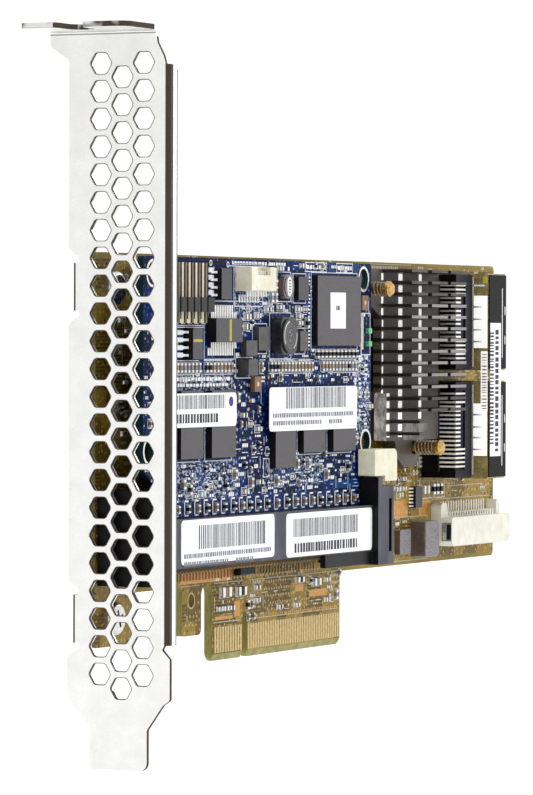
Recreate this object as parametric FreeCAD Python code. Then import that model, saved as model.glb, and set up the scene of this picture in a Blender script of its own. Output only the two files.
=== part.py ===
import FreeCAD, Part
import math
import os

# Storage controller card for a server expansion slot.
# Working frame while building: X = 0 on the component face of the main board,
# Y = 0 on the outer face of the slot bracket, Z = 0 on the bottom of the edge
# connector.  Every node is moved by SHIFT on export, which puts the row's
# origin at the centre of the connector's key notch, mid-thickness of the board.

# ---------------------------------------------------------------- dimensions
PCB_T = 1.57              # main board thickness
KEY_Y = 57.15             # key notch centre from the bracket's outer face
SHIFT = (PCB_T / 2.0, -KEY_Y, 0.0)

# main board outline
BRD_Y0, BRD_Y1 = 1.2, 167.65
BRD_Z0, BRD_Z1 = 13.1, 68.9
CORNER_Z = 4.7            # bottom of the corner that carries the lower screw
FING_Y0, FING_Y1 = 44.55, 96.5
KEY_W, KEY_H = 1.9, 7.9
FINGER_W, FINGER_Z0, FINGER_Z1 = 0.7, 1.3, 5.7
PLATE_T = 0.04            # gold plating shown as a thin leaf

# bracket
SHEET = 0.86
BR_X0, BR_X1 = -4.2, 14.22
BR_TOP, BR_BOT = 105.3, -14.7
TAB_DEPTH = 10.6
HEX_AF, HEX_PZ, HEX_PX = 3.4, 4.478, 3.878
HEX_X, HEX_Z, HEX_N = 5.45, 99.228, 23
SCREW_Y, SCREW_Z = 6.7, (9.3, 63.1)

# cache module
MOD_X0, MOD_X1 = 6.3, 7.4
MOD_Y0, MOD_Y1, MOD_Z1 = 3.8, 93.5, 68.3
MOD_STEP_Y, MOD_BOT = 4.3, 20.2

# module socket
SOC_Y0, SOC_Y1 = 8.6, 88.7
SOC_X1, SOC_Z0, SOC_Z1 = 9.9, 15.0, 25.4
TOWER_X1, TOWER_Y1 = 11.1, 95.4
PIVOT_Y, PIVOT_Z = 93.0, 18.5
SOC_PITCH, SOC_N, SOC_FIRST = 1.2, 62, 12.05

# heatsink
HS_X0, HS_X1, HS_TIP = 2.8, 4.5, 10.4
HS_Y0, HS_Y1, HS_Z0, HS_Z1 = 104.7, 130.5, 36.3, 67.6
FIN_T = 0.52
FIN_Z = (67.20, 65.11, 63.03, 60.95, 58.87, 56.78, 54.70, 52.62, 50.53,
         48.36, 46.19, 44.01, 41.93, 39.84, 37.67)
FIN_SEG = ((104.8, 112.0), (113.9, 121.2), (122.6, 129.9))
PINS = ((96.2, 63.8), (119.2, 35.0))

# drive-cable receptacles
SAS_Z = ((29.0, 46.8), (49.3, 66.9))
SAS_Y0, SAS_YM, SAS_Y1 = 132.9, 140.6, 149.5
SAS_XA, SAS_XB = 7.0, 10.5

# ------------------------------------------------------------------- helpers
V = FreeCAD.Vector
os.makedirs("parts", exist_ok=True)


def box(x0, x1, y0, y1, z0, z1):
    return Part.makeBox(x1 - x0, y1 - y0, z1 - z0, V(x0, y0, z0))


def cylx(y, z, r, x0, x1):
    return Part.makeCylinder(r, x1 - x0, V(x0, y, z), V(1, 0, 0))


def cylz(x, y, r, z0, z1):
    return Part.makeCylinder(r, z1 - z0, V(x, y, z0), V(0, 0, 1))


def wire(pts, rad, put):
    """Closed wire through 2-D points, each corner rounded by its radius."""
    n = len(pts)
    rr = rad if isinstance(rad, (list, tuple)) else [rad] * n
    segs = []
    for i in range(n):
        p, a, b = pts[i], pts[i - 1], pts[(i + 1) % n]
        r = rr[i]
        if r <= 0:
            segs.append((p, None, p))
            continue
        ua = (a[0] - p[0], a[1] - p[1])
        ub = (b[0] - p[0], b[1] - p[1])
        la, lb = math.hypot(*ua), math.hypot(*ub)
        ua = (ua[0] / la, ua[1] / la)
        ub = (ub[0] / lb, ub[1] / lb)
        ang = math.acos(max(-1, min(1, ua[0] * ub[0] + ua[1] * ub[1])))
        d = min(r / math.tan(ang / 2), 0.499 * la, 0.499 * lb)
        r = d * math.tan(ang / 2)
        bis = (ua[0] + ub[0], ua[1] + ub[1])
        lm = math.hypot(*bis)
        h = r / math.sin(ang / 2)
        c = (p[0] + bis[0] / lm * h, p[1] + bis[1] / lm * h)
        m = (c[0] - bis[0] / lm * r, c[1] - bis[1] / lm * r)
        segs.append(((p[0] + ua[0] * d, p[1] + ua[1] * d), m,
                     (p[0] + ub[0] * d, p[1] + ub[1] * d)))
    edges = []
    for i in range(n):
        s, m, e = segs[i]
        if m is not None:
            edges.append(Part.Arc(put(*s), put(*m), put(*e)).toShape())
        nxt = segs[(i + 1) % n][0]
        if math.hypot(e[0] - nxt[0], e[1] - nxt[1]) > 1e-6:
            edges.append(Part.LineSegment(put(*e), put(*nxt)).toShape())
    return Part.Wire(edges)


def prism(outer, rad, holes, plane, c0, c1):
    """Prism of a rounded outline; plane 'x' is (y, z), 'y' is (x, z),
    'z' is (x, y); holes are ready wires at c0."""
    put, d = {
        "x": (lambda a, b: V(c0, a, b), V(c1 - c0, 0, 0)),
        "y": (lambda a, b: V(a, c0, b), V(0, c1 - c0, 0)),
        "z": (lambda a, b: V(a, b, c0), V(0, 0, c1 - c0)),
    }[plane]
    w = wire(outer, rad, put)
    if holes:
        face = Part.makeFace([w] + holes, "Part::FaceMakerBullseye")
    else:
        face = Part.Face(w)
    s = face.extrude(d)
    return s.Solids[0]


def rbox(x0, x1, y0, y1, z0, z1, r=0.25, plane="x"):
    if plane == "x":
        return prism([(y0, z0), (y1, z0), (y1, z1), (y0, z1)], r, [], "x", x0, x1)
    if plane == "y":
        return prism([(x0, z0), (x1, z0), (x1, z1), (x0, z1)], r, [], "y", y0, y1)
    return prism([(x0, y0), (x1, y0), (x1, y1), (x0, y1)], r, [], "z", z0, z1)


def circ(y, z, r, x):
    return Part.Wire([Part.Circle(V(x, y, z), V(1, 0, 0), r).toShape()])


def fuse(first, *rest):
    s = first
    for o in rest:
        s = s.fuse(o)
    s = s.removeSplitter()
    return s.Solids[0] if len(s.Solids) == 1 else s


def save(name, solids):
    if not isinstance(solids, (list, tuple)):
        solids = solids.Solids
    out = []
    for s in solids:
        for q in s.Solids:
            if not q.isValid() or q.Volume <= 0:
                raise ValueError("bad solid in " + name)
            q = q.copy()
            q.translate(V(*SHIFT))
            out.append(q)
    sh = out[0] if len(out) == 1 else Part.makeCompound(out)
    sh.exportStep("parts/%s.step" % name)
    print("%-26s %4d solids %10.2f mm3" % (name, len(out), sum(q.Volume for q in out)))


# ------------------------------------------------------------------- bracket
BR_IN = SHEET + 0.14      # outside radius of the two long bends
FL_X = BR_X1 - BR_IN      # where the flat sheet ends and the flange bend starts
EAR_X = -2.67             # where the flat sheet ends and an ear bend starts
REL_X = -2.35             # how far the relief notches by the ears cut in
TOPB = 0.5                # inside radius of the tab's bend
TOP_FLAT = BR_TOP - SHEET - TOPB

outline = [(-7.65, TOP_FLAT), (-7.65, 102.1), (BR_X0, 99.9), (BR_X0, 69.6),
           (-3.2, 68.5), (REL_X, 68.3), (REL_X, 67.1), (EAR_X, 67.1), (EAR_X, 59.4),
           (REL_X, 59.4), (REL_X, 58.4), (-3.2, 58.1),
           (BR_X0, 57.0), (BR_X0, 15.9), (-3.2, 14.8), (REL_X, 14.6), (REL_X, 13.4), (EAR_X, 13.4),
           (EAR_X, 5.6), (REL_X, 5.6), (REL_X, 4.6), (-3.2, 4.3), (-4.4, 3.4), (-4.4, -3.4), (-3.7, -4.2),
           (-0.2, -7.6), (-0.1, -8.6), (-0.35, BR_BOT), (10.1, BR_BOT),
           (10.1, -8.1), (13.0, -4.0), (14.2, -3.2), (14.2, 3.4), (12.8, 4.9),
           (FL_X, 5.6), (FL_X, 98.9), (12.8, 100.3), (11.7, 102.4),
           (11.5, TOP_FLAT)]
orad = [0, 0.8, 0.8, 0.5, 0.4, 0.4, 0, 0, 0, 0, 0.4, 0.4, 0.5, 0.5, 0.4, 0.4, 0, 0,
        0, 0, 0.4, 0.4, 0.5, 0.5,
        0.4, 0.6, 0.5, 0.9, 1.3, 0.8, 0.8, 0.5, 0.3, 0.3, 0, 0, 0.8, 0.8, 0]


def hexa(x, z):
    rc = HEX_AF / math.sqrt(3)
    pts = [(x + rc * math.cos(math.radians(60 * k)),
            z + rc * math.sin(math.radians(60 * k))) for k in range(6)]
    return wire(pts, 0.4, lambda a, b: V(a, 0, b))


hexes = []
for k in range(HEX_N):
    hexes.append(hexa(HEX_X - HEX_PX, HEX_Z - k * HEX_PZ))
    hexes.append(hexa(HEX_X + HEX_PX, HEX_Z - k * HEX_PZ))
    hexes.append(hexa(HEX_X, HEX_Z - (k + 0.5) * HEX_PZ))
plate = prism(outline, orad, hexes, "y", 0.0, SHEET)


def bend(c, a0, a1, r0, r1, put, ext):
    """Quarter of a bent sheet: centre c, angles a0..a1, radii r0..r1."""
    am = math.radians((a0 + a1) / 2)
    a0, a1 = math.radians(a0), math.radians(a1)
    pt = lambda r, t: put(c[0] + r * math.cos(t), c[1] + r * math.sin(t))
    e = [Part.Arc(pt(r1, a0), pt(r1, am), pt(r1, a1)).toShape(),
         Part.LineSegment(pt(r1, a1), pt(r0, a1)).toShape(),
         Part.Arc(pt(r0, a1), pt(r0, am), pt(r0, a0)).toShape(),
         Part.LineSegment(pt(r0, a0), pt(r1, a0)).toShape()]
    return Part.Face(Part.Wire(e)).extrude(ext).Solids[0]


# long flange
FL_Z0, FL_Z1, FL_Y1 = 5.6, 98.9, 2.4
fl_bend = bend((FL_X, BR_IN), -90, 0, 0.14, BR_IN, lambda a, b: V(a, b, FL_Z0),
               V(0, 0, FL_Z1 - FL_Z0))
fl_flat = box(BR_X1 - SHEET, BR_X1, BR_IN, FL_Y1, FL_Z0, FL_Z1)
flange = fl_bend.fuse(fl_flat)
flange = flange.cut(prism([(0.3, FL_Z1 + 0.1), (FL_Y1 + 0.5, FL_Z1 + 0.1),
                           (FL_Y1 + 0.5, FL_Z1 - 1.1)], 0, [], "x",
                          BR_X1 - 2.0, BR_X1 + 1.0))
# tab for the chassis screw
tb = bend((-TOPB, TOP_FLAT), 0, 90, TOPB, TOPB + SHEET,
          lambda a, b: V(-7.65, a, b), V(11.5 + 7.65, 0, 0))
tab = prism([(-7.65, -TOPB), (-7.65, -TAB_DEPTH), (11.5, -TAB_DEPTH), (11.5, -TOPB)],
            [0, 1.1, 2.2, 0], [], "z", BR_TOP - SHEET, BR_TOP)
SLOT_X, SLOT_Y, SLOT_R = 1.1, -6.2, 2.21
slot = cylz(SLOT_X, SLOT_Y, SLOT_R, BR_TOP - 2, BR_TOP + 1).fuse(
    box(SLOT_X - SLOT_R, SLOT_X + SLOT_R, -12, SLOT_Y, BR_TOP - 2, BR_TOP + 1))
slot = slot.fuse(prism([(SLOT_X - SLOT_R, -9.4), (SLOT_X + SLOT_R, -9.4),
                        (SLOT_X + 3.3, -12), (SLOT_X - 3.3, -12)],
                       0, [], "z", BR_TOP - 2, BR_TOP + 1))
tab = tab.cut(slot)
# two ears that the board is screwed to
ears = []
for zc, (z0, z1) in zip(SCREW_Z, ((5.6, 13.4), (59.4, 67.1))):
    eb = bend((EAR_X, BR_IN), 180, 270, 0.14, BR_IN,
              lambda a, b, z0=z0: V(a, b, z0), V(0, 0, z1 - z0))
    ef = prism([(BR_IN, z0), (10.9, z0), (10.9, z1), (BR_IN, z1)], [0, 2.6, 2.6, 0],
               [], "x", EAR_X - BR_IN, EAR_X - BR_IN + SHEET)
    collar = cylx(SCREW_Y, zc, 2.3, EAR_X - BR_IN + SHEET - 0.1, -PCB_T)
    e = eb.fuse(ef).fuse(collar).cut(cylx(SCREW_Y, zc, 1.25, -8, 1))
    ears.append(e)
bracket = fuse(plate, flange, tb, tab, *ears)
save("bracket", bracket)

# -------------------------------------------------------------- main board
o = [(BRD_Y0, CORNER_Z), (15.0, CORNER_Z), (15.0, BRD_Z0), (33.0, BRD_Z0),
     (33.0, 4.8), (40.2, 4.8), (40.2, BRD_Z0), (FING_Y0, BRD_Z0), (FING_Y0, 0),
     (KEY_Y - KEY_W / 2, 0), (KEY_Y - KEY_W / 2, KEY_H), (KEY_Y + KEY_W / 2, KEY_H),
     (KEY_Y + KEY_W / 2, 0), (FING_Y1, 0), (FING_Y1, BRD_Z0), (BRD_Y1, BRD_Z0),
     (BRD_Y1, BRD_Z1), (BRD_Y0, BRD_Z1)]
orr = [0.8, 1, 1, 1, 1, 1, 1.8, 1.8, 0.8, 0.5, 0.9, 0.9, 0.5, 1, 1.3, 1, 1, 1]
holes = [circ(SCREW_Y, z, 1.6, -PCB_T) for z in SCREW_Z]
holes += [circ(36.4, 10.7, 1.45, -PCB_T)]
holes += [circ(y, z, 1.25, -PCB_T) for y, z in PINS]
board = prism(o, orr, holes, "x", -PCB_T, 0.0)
BEV = 1.15
for sx in (1, -1):
    xf = 0.0 if sx > 0 else -PCB_T
    w = Part.makePolygon([V(xf, 40, -0.1), V(xf, 40, BEV), V(xf - sx * 0.42, 40, 0),
                          V(xf - sx * 0.46, 40, -0.1), V(xf, 40, -0.1)])
    wedge = Part.Face(w).extrude(V(0, 60, 0))
    wedge2 = box(min(xf, xf + sx * 1), max(xf, xf + sx * 1), 40, 100, -0.1, BEV)
    board = board.cut(wedge)
save("main_board", board)

fingers = []
for k in list(range(11)) + list(range(12, 50)):
    if k < 11:
        yc = KEY_Y - 1.5 - (10 - k)
    else:
        yc = KEY_Y + 1.5 + (k - 12)
    for x0 in (0.0, -PCB_T - PLATE_T):
        fingers.append(box(x0, x0 + PLATE_T, yc - FINGER_W / 2, yc + FINGER_W / 2,
                           FINGER_Z0, FINGER_Z1))
save("edge_contacts", fingers)

# board screws
screws = []
for z in SCREW_Z:
    head = Part.makeCylinder(2.75, 1.7, V(0, SCREW_Y, z), V(1, 0, 0))
    top = [e for e in head.Edges if abs(e.BoundBox.XMin - 1.7) < 1e-6 and
           abs(e.BoundBox.XMax - 1.7) < 1e-6]
    head = head.makeFillet(0.75, top)
    sh = cylx(SCREW_Y, z, 1.25, -3.9, 0.05)
    s = head.fuse(sh)
    for a in (0, 90):
        b = Part.makeBox(1.2, 3.0, 0.6, V(0.8, -1.5, -0.3))
        b.rotate(V(0, 0, 0), V(1, 0, 0), a + 20)
        b.translate(V(0, SCREW_Y, z))
        s = s.cut(b)
    screws.append(s.removeSplitter().Solids[0])
save("board_screws", screws)

# ---------------------------------------------------- controller and heatsink
CH_Y, CH_Z = 117.6, 52.0
balls = []
for i in range(12):
    for j in range(12):
        balls.append(cylx(CH_Y - 11 + 2 * i, CH_Z - 11 + 2 * j, 0.3, 0.0, 0.45))
save("controller_solder_balls", balls)
chip = fuse(rbox(0.45, 1.35, CH_Y - 13.5, CH_Y + 13.5, CH_Z - 13.5, CH_Z + 13.5, 0.4),
            rbox(1.35, 2.5, CH_Y - 11.5, CH_Y + 11.5, CH_Z - 11.5, CH_Z + 11.5, 0.6))
save("controller_chip", chip)
save("thermal_pad", rbox(2.5, HS_X0, CH_Y - 11, CH_Y + 11, CH_Z - 11, CH_Z + 11, 0.4))

hs_out = [(HS_Y0, 45.3), (101.4, 45.3), (101.4, 36.5), (110.7, HS_Z0),
          (111.5, 33.4), (114.6, 31.4), (121.6, 31.4), (121.6, HS_Z0), (HS_Y1, HS_Z0),
          (HS_Y1, HS_Z1), (92.8, HS_Z1), (92.8, 60.6), (100.3, 60.6), (HS_Y0, 58.6)]
hs_rad = [0.5, 0.6, 0.6, 0.6, 0.8, 2.4, 2.4, 0.5, 0.8, 0.8, 3.0, 3.0, 1.0, 0.8]
base = prism(hs_out, hs_rad, [circ(y, z, 1.25, HS_X0) for y, z in PINS], "x",
             HS_X0, HS_X1)
fins = []
for z in FIN_Z:
    for n, (y0, y1) in enumerate(FIN_SEG):
        if n > 0 and z < 41:
            continue
        if n == 0 and z < 45:
            y0 = 108.4
        z0, z1 = z - FIN_T / 2, z + FIN_T / 2
        z1 = min(z1, HS_Z1)
        fins.append(box(HS_X1 - 0.2, HS_TIP, y0, y1, z0, z1))
hs = base.multiFuse(fins).removeSplitter()
save("heatsink", hs.Solids[0])

pins, springs = [], []
for y, z in PINS:
    p = cylx(y, z, 0.85, -1.7, 9.6)
    p = p.fuse(cylx(y, z, 1.42, 9.4, 9.9))
    p = p.fuse(Part.makeCone(1.42, 0.95, 0.5, V(9.9, y, z), V(1, 0, 0)))
    p = p.fuse(Part.makeCone(1.55, 0.75, 1.5, V(-PCB_T, y, z), V(-1, 0, 0)))
    p = p.cut(box(-4, -0.6, y - 0.22, y + 0.22, z - 3, z + 3))
    pins.append(p.removeSplitter().Solids[0])
    hel = Part.makeHelix(0.66, 4.42, 1.2)
    prof = Part.makePolygon([V(1.2 + 0.17 * math.cos(math.radians(45 * k + 22.5)), 0,
                               0.17 * math.sin(math.radians(45 * k + 22.5)))
                             for k in range(9)])
    sp = Part.Wire(hel).makePipeShell([prof], True, True)
    sp.rotate(V(0, 0, 0), V(0, 1, 0), 90)
    sp.translate(V(HS_X1 + 0.22, y, z))
    springs.append(sp)
save("heatsink_pins", pins)
save("heatsink_springs", springs)

# ------------------------------------------------- drive-cable receptacles
housings, shields, tails = [], [], []
for z0, z1 in SAS_Z:
    zc = (z0 + z1) / 2
    a = box(0.1, SAS_XA, SAS_Y0, SAS_YM + 0.5, z0, z1)
    b = prism([(0.1, SAS_YM), (SAS_XB, SAS_YM), (SAS_XB, SAS_Y1), (0.1, SAS_Y1)],
              [0, 0.2, 0.9, 0], [], "z", z0, z1)
    h = a.fuse(b)
    # mouth for the cable plug, with a tongue in it
    h = h.cut(box(1.5, 9.2, 142.4, SAS_Y1 + 1, z0 + 1.4, z1 - 1.4))
    h = h.fuse(box(4.6, 5.7, 142.2, 148.6, zc - 7.2, zc + 7.2))
    # recess and cavities for the contact tails
    h = h.cut(box(0.0, SAS_XA - 0.3, SAS_Y0 - 1, SAS_Y0 + 0.35, zc - 7.4, zc + 7.4))
    h = h.fuse(box(0.5, 3.8, SAS_Y0 - 0.55, SAS_Y0 - 0.1, zc - 7.8, zc + 7.8))
    h = h.fuse(box(0.5, 3.8, SAS_Y0 - 0.55, SAS_Y0 + 0.5, zc + 7.2, zc + 7.8))
    h = h.fuse(box(0.5, 3.8, SAS_Y0 - 0.55, SAS_Y0 + 0.5, zc - 7.8, zc - 7.2))
    h = h.cut(box(SAS_XA - 0.35, SAS_XA + 1, SAS_Y0 - 1, SAS_Y0 + 4.4, zc - 7.4, zc + 7.4))
    # latch windows and the long slit in the top
    for zz in (z0 + 5.4, z0 + 10.9):
        h = h.cut(box(9.0, SAS_XB + 1, 147.9, 148.9, zz - 0.95, zz + 0.95))
    h = h.cut(box(SAS_XB - 0.35, SAS_XB + 1, 146.7, 147.0, z0 + 2.0, z1 - 2.4))
    # locating pegs stand on the board
    h = h.fuse(box(0.0, 0.1, SAS_Y0 + 1, SAS_Y0 + 2.5, z0 + 0.5, z0 + 1.6))
    h = h.fuse(box(0.0, 0.1, SAS_Y0 + 1, SAS_Y0 + 2.5, z1 - 1.6, z1 - 0.5))
    h = h.fuse(box(0.0, 0.1, 146, 148.5, z0 + 0.1, z0 + 1.3))
    h = h.fuse(box(0.0, 0.1, 146, 148.5, z1 - 1.3, z1 - 0.1))
    housings.append(h.removeSplitter().Solids[0])
    # polished shield: rear wall above the step, and two side cheeks
    s = box(SAS_XA, SAS_XB - 0.2, SAS_YM - 0.25, SAS_YM, z0 - 0.25, z1 + 0.25)
    s = s.fuse(box(0.0, SAS_XB - 0.2, SAS_YM - 0.25, 148.6, z1, z1 + 0.25))
    s = s.fuse(box(0.0, SAS_XB - 0.2, SAS_YM - 0.25, 148.6, z0 - 0.25, z0))
    s = s.fuse(box(SAS_XA + 0.35, SAS_XB - 0.6, SAS_YM - 0.4, SAS_YM - 0.2,
                   zc - 4.9, zc + 4.9))
    shields.append(s.removeSplitter().Solids[0])
    for k in range(18):
        z = zc + (k - 8.5) * 0.8
        t = box(0.0, 0.2, SAS_Y0 - 1.1, SAS_Y0 + 0.34, z - 0.2, z + 0.2)
        leg = 2.2 if 5 <= k <= 14 else 4.4
        t = t.fuse(box(0.0, SAS_XA + 0.05, SAS_Y0 - 0.1, SAS_Y0 + 0.34, z - 0.17, z + 0.17))
        t = t.fuse(box(SAS_XA - 0.3, SAS_XA + 0.05, SAS_Y0 - 0.1, SAS_Y0 + leg,
                       z - 0.17, z + 0.17))
        tails.append(t.removeSplitter().Solids[0])
        for xs in (4.6 - 0.08, 5.7):
            tails.append(box(xs, xs + 0.08, 142.4, 147.9, z - 0.18, z + 0.18))
save("sas_housings", housings)
save("sas_shields", shields)
save("sas_contacts", tails)

# ------------------------------------------------------------ cache module
y0, y1 = MOD_Y0, MOD_Y1
NOTCH = (52.05, 53.65)
mo = [(y0, 33.4), (y0 + MOD_STEP_Y, 31.0), (y0 + MOD_STEP_Y, MOD_BOT),
      (NOTCH[0], MOD_BOT), (NOTCH[0], 23.2), (NOTCH[1], 23.2), (NOTCH[1], MOD_BOT),
      (y1 - MOD_STEP_Y, MOD_BOT), (y1 - MOD_STEP_Y, 31.0), (y1, 33.4), (y1, MOD_Z1),
      (y0, MOD_Z1)]
mr = [0.6, 0.6, 0.5, 0.2, 0.7, 0.7, 0.2, 0.5, 0.6, 0.6, 0.8, 0.8]
HDR_Y = [11.1 + 2.5 * k for k in range(6)]
HDR_Z = 57.8
MOD_HOLES = ((90.2, 65.5), (91.2, 36.6), (7.1, 65.5), (6.1, 36.6))
mh = [circ(y, z, 1.85, MOD_X0) for y, z in MOD_HOLES]
mh += [circ(y, HDR_Z, 0.52, MOD_X0) for y in HDR_Y]
module = prism(mo, mr, mh, "x", MOD_X0, MOD_X1)
save("cache_board", module)

pads, sprs = [], []
for k in range(SOC_N):
    y = SOC_FIRST + k * SOC_PITCH
    if NOTCH[0] - 0.3 < y < NOTCH[1] + 0.3 and k == 34:
        continue
    for xa in (MOD_X1, MOD_X0 - PLATE_T):
        pads.append(box(xa, xa + PLATE_T, y - 0.4, y + 0.4, MOD_BOT + 0.6, MOD_BOT + 4.2))
    x1 = MOD_X1 + PLATE_T
    up = prism([(x1, 23.8), (x1 + 0.2, 23.8), (x1 + 0.2, 17.6), (8.9, 16.6), (8.9, 16.4),
                (0.2, 16.4), (0.2, 14.1), (0.0, 14.1), (0.0, 16.6), (8.5, 16.6),
                (x1, 17.4)], 0, [], "y", y - 0.15, y + 0.15)
    sprs.append(up)
    x0 = MOD_X0 - PLATE_T
    yy = y + SOC_PITCH / 2
    if not (k == 33):
        pass
    dn = prism([(x0, 23.8), (x0 - 0.2, 23.8), (x0 - 0.2, 18.6), (0.0, 18.6), (0.0, 18.4),
                (0.0, 17.2), (0.2, 17.2), (0.2, 18.4), (x0, 18.4)], 0, [], "y",
               y + 0.25, y + 0.55)
    sprs.append(dn)
save("cache_board_contacts", pads)

# socket that holds the module parallel to the board
soc = box(0.2, SOC_X1, SOC_Y0 - 0.1, SOC_Y1 + 0.1, SOC_Z0, SOC_Z1)
soc = soc.cut(box(-1, SOC_X1 - 1.0, SOC_Y0 + 1.6, SOC_Y1 - 1.6, 13, 19.6))
soc = soc.cut(box(4.9, SOC_X1 - 1.0, SOC_Y0 + 1.6, SOC_Y1 - 1.6, 19.5, 24.3))
soc = soc.cut(box(MOD_X0 - 0.15, MOD_X1 + 0.15, SOC_Y0 - 1.6, SOC_Y1 + 0.8, 19.9, 26))
soc = soc.cut(box(SOC_X1 - 1.1, SOC_X1 + 1, SOC_Y0 + 1.6, 68.9, 13, 17.3))
soc = soc.fuse(box(MOD_X0 - 0.15, MOD_X1 + 0.15, 52.3, 53.4, 19.5, 22.9))
soc = soc.fuse(box(4.8, SOC_X1 - 0.9, 52.62, 53.08, 18.9, 22.9))
tower = box(0.2, TOWER_X1, SOC_Y1, TOWER_Y1, 14.8, 28.8).fuse(
    box(0.2, TOWER_X1, SOC_Y1, 90.4, 28.7, 30.3))
tower = tower.cut(box(4.3, 8.9, 90.4, 97, 16.0, 31))
tower = tower.cut(cylx(PIVOT_Y, PIVOT_Z, 0.97, 3.3, 9.9))
tower = tower.cut(box(9.6, 12, 93.3, 94.5, 17.0, 26.5))
tower = tower.cut(box(MOD_X0 - 0.15, MOD_X1 + 0.15, 88, 89.45, 19.9, 31))
mid = (MOD_Y0 + MOD_Y1) / 2
post = box(0.2, TOWER_X1, 2 * mid - TOWER_Y1, 2 * mid - SOC_Y1, 14.8, 30.3)
post = post.cut(box(MOD_X0 - 0.15, MOD_X1 + 0.15, 2 * mid - 89.45, 9, 19.9, 31))
pegs = [box(0.0, 0.25, 90, 93, 15, 17), box(0.0, 0.25, 4, 7, 15, 17),
        box(0.0, 0.25, 90, 93, 26, 28), box(0.0, 0.25, 4, 7, 26, 28)]
soc = fuse(soc, tower, post, *pegs)
save("module_socket", soc)
save("socket_contacts", sprs)

# latch at the open end of the socket
lh = prism([(87.1, 30.6), (91.6, 30.6), (91.6, 29.6), (96.8, 29.6), (96.8, 35.3),
            (87.1, 35.3)], [0.3, 0, 0, 0.3, 1.3, 0.4], [], "x", 3.2, TOWER_X1)
lh = lh.cut(box(5.85, 7.85, 86, 93.95, 30.4, 36))
stem = box(4.6, 8.6, 91.0, 95.0, PIVOT_Z, 30.7).fuse(cylx(PIVOT_Y, PIVOT_Z, 2.0, 4.6, 8.6))
stub = cylx(PIVOT_Y, PIVOT_Z, 0.92, 3.5, 9.7)
latch = fuse(lh, stem, stub)
save("socket_latch", latch)

# chips on the module ------------------------------------------------------
MX = MOD_X1
drams = []
for ya, yb, za in ((15.4, 23.7, 35.1), (26.9, 36.0, 35.1), (51.6, 59.7, 32.8),
                   (62.9, 71.9, 35.2), (75.2, 84.6, 35.2)):
    drams.append(rbox(MX, MX + 1.1, ya, yb, za, 46.3, 0.2))
save("memory_chips", drams)
save("flash_chip", rbox(MX, MX + 1.0, 68.7, 86.9, 53.7, 65.9, 0.2))


def gull(y, z, dy, dz, xb, reach=1.0, w=0.4, t=0.2, x0=MX):
    """One gull-wing lead: starts at the body edge, ends on the board."""
    if dy:
        s = 1 if dy > 0 else -1
        f = lambda a, b: box(x0 + b[0], x0 + b[1], min(y + s * a[0], y + s * a[1]),
                             max(y + s * a[0], y + s * a[1]), z - w / 2, z + w / 2)
    else:
        s = 1 if dz > 0 else -1
        f = lambda a, b: box(x0 + b[0], x0 + b[1], y - w / 2, y + w / 2,
                             min(z + s * a[0], z + s * a[1]), max(z + s * a[0], z + s * a[1]))
    l = f((0, reach * 0.45), (xb - t, xb)).fuse(f((reach * 0.45 - t, reach * 0.45), (0, xb)))
    l = l.fuse(f((reach * 0.45 - t, reach), (0, t)))
    return l.removeSplitter().Solids[0]


logic, logic_leads = [], []
for ya, yb, za, zb, n in ((29.4, 33.3, 61.5, 66.6, 4), (18.7, 22.4, 51.5, 56.6, 4)):
    logic.append(rbox(MX + 0.1, MX + 1.6, ya, yb, za, zb, 0.15))
    for k in range(n):
        z = (za + zb) / 2 + (k - (n - 1) / 2) * 1.27
        logic_leads.append(gull(ya, z, -1, 0, 0.8))
        logic_leads.append(gull(yb, z, 1, 0, 0.8))
# leadless part beside the oval coil
logic.append(rbox(MX, MX + 0.85, 61.2, 65.3, 61.6, 65.6, 0.15))
# power switch on the main board
logic.append(rbox(0.1, 1.1, 128.0, 131.1, 23.5, 27.4, 0.12))
for k in range(6):
    z = 25.45 + (k - 2.5) * 0.65
    logic_leads.append(gull(128.0, z, -1, 0, 0.6, 0.8, 0.3, 0.16, 0.0))
    logic_leads.append(gull(131.1, z, 1, 0, 0.6, 0.8, 0.3, 0.16, 0.0))
save("logic_chips", logic)
save("logic_chip_leads", logic_leads)
save("driver_chip", rbox(MX + 0.1, MX + 1.9, 26.8, 36.8, 54.3, 58.3, 0.2))
dl = []
for k in range(15):
    y = 31.8 + (k - 7) * 0.65
    dl.append(gull(y, 54.3, 0, -1, 0.85, 2.2, 0.4, 0.2))
    dl.append(gull(y, 58.3, 0, 1, 0.85, 2.2, 0.4, 0.2))
save("driver_chip_leads", dl)

# pin header --------------------------------------------------------------
hp = []
for y in HDR_Y:
    p = box(8.38, 9.02, y - 0.32, y + 0.32, HDR_Z - 0.32, 67.4)
    p = p.fuse(box(MOD_X0 - 0.5, 8.5, y - 0.32, y + 0.32, HDR_Z - 0.32, HDR_Z + 0.32))
    hp.append(p.removeSplitter().Solids[0])
hb = box(MX, 9.9, 9.9, 24.9, 59.3, 61.7)
for y in HDR_Y[:-1]:
    yc = y + 1.25
    hb = hb.cut(prism([(yc - 0.35, 59.2), (yc + 0.35, 59.2), (yc, 59.65)], 0, [], "x", 7, 11))
    hb = hb.cut(prism([(yc - 0.35, 61.8), (yc + 0.35, 61.8), (yc, 61.35)], 0, [], "x", 7, 11))
    hb = hb.cut(box(9.3, 11, yc - 0.24, yc + 0.24, 59.2, 61.8))
for p in hp:
    hb = hb.cut(p)
save("pin_header_body", hb)
save("header_pins", hp)

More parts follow.
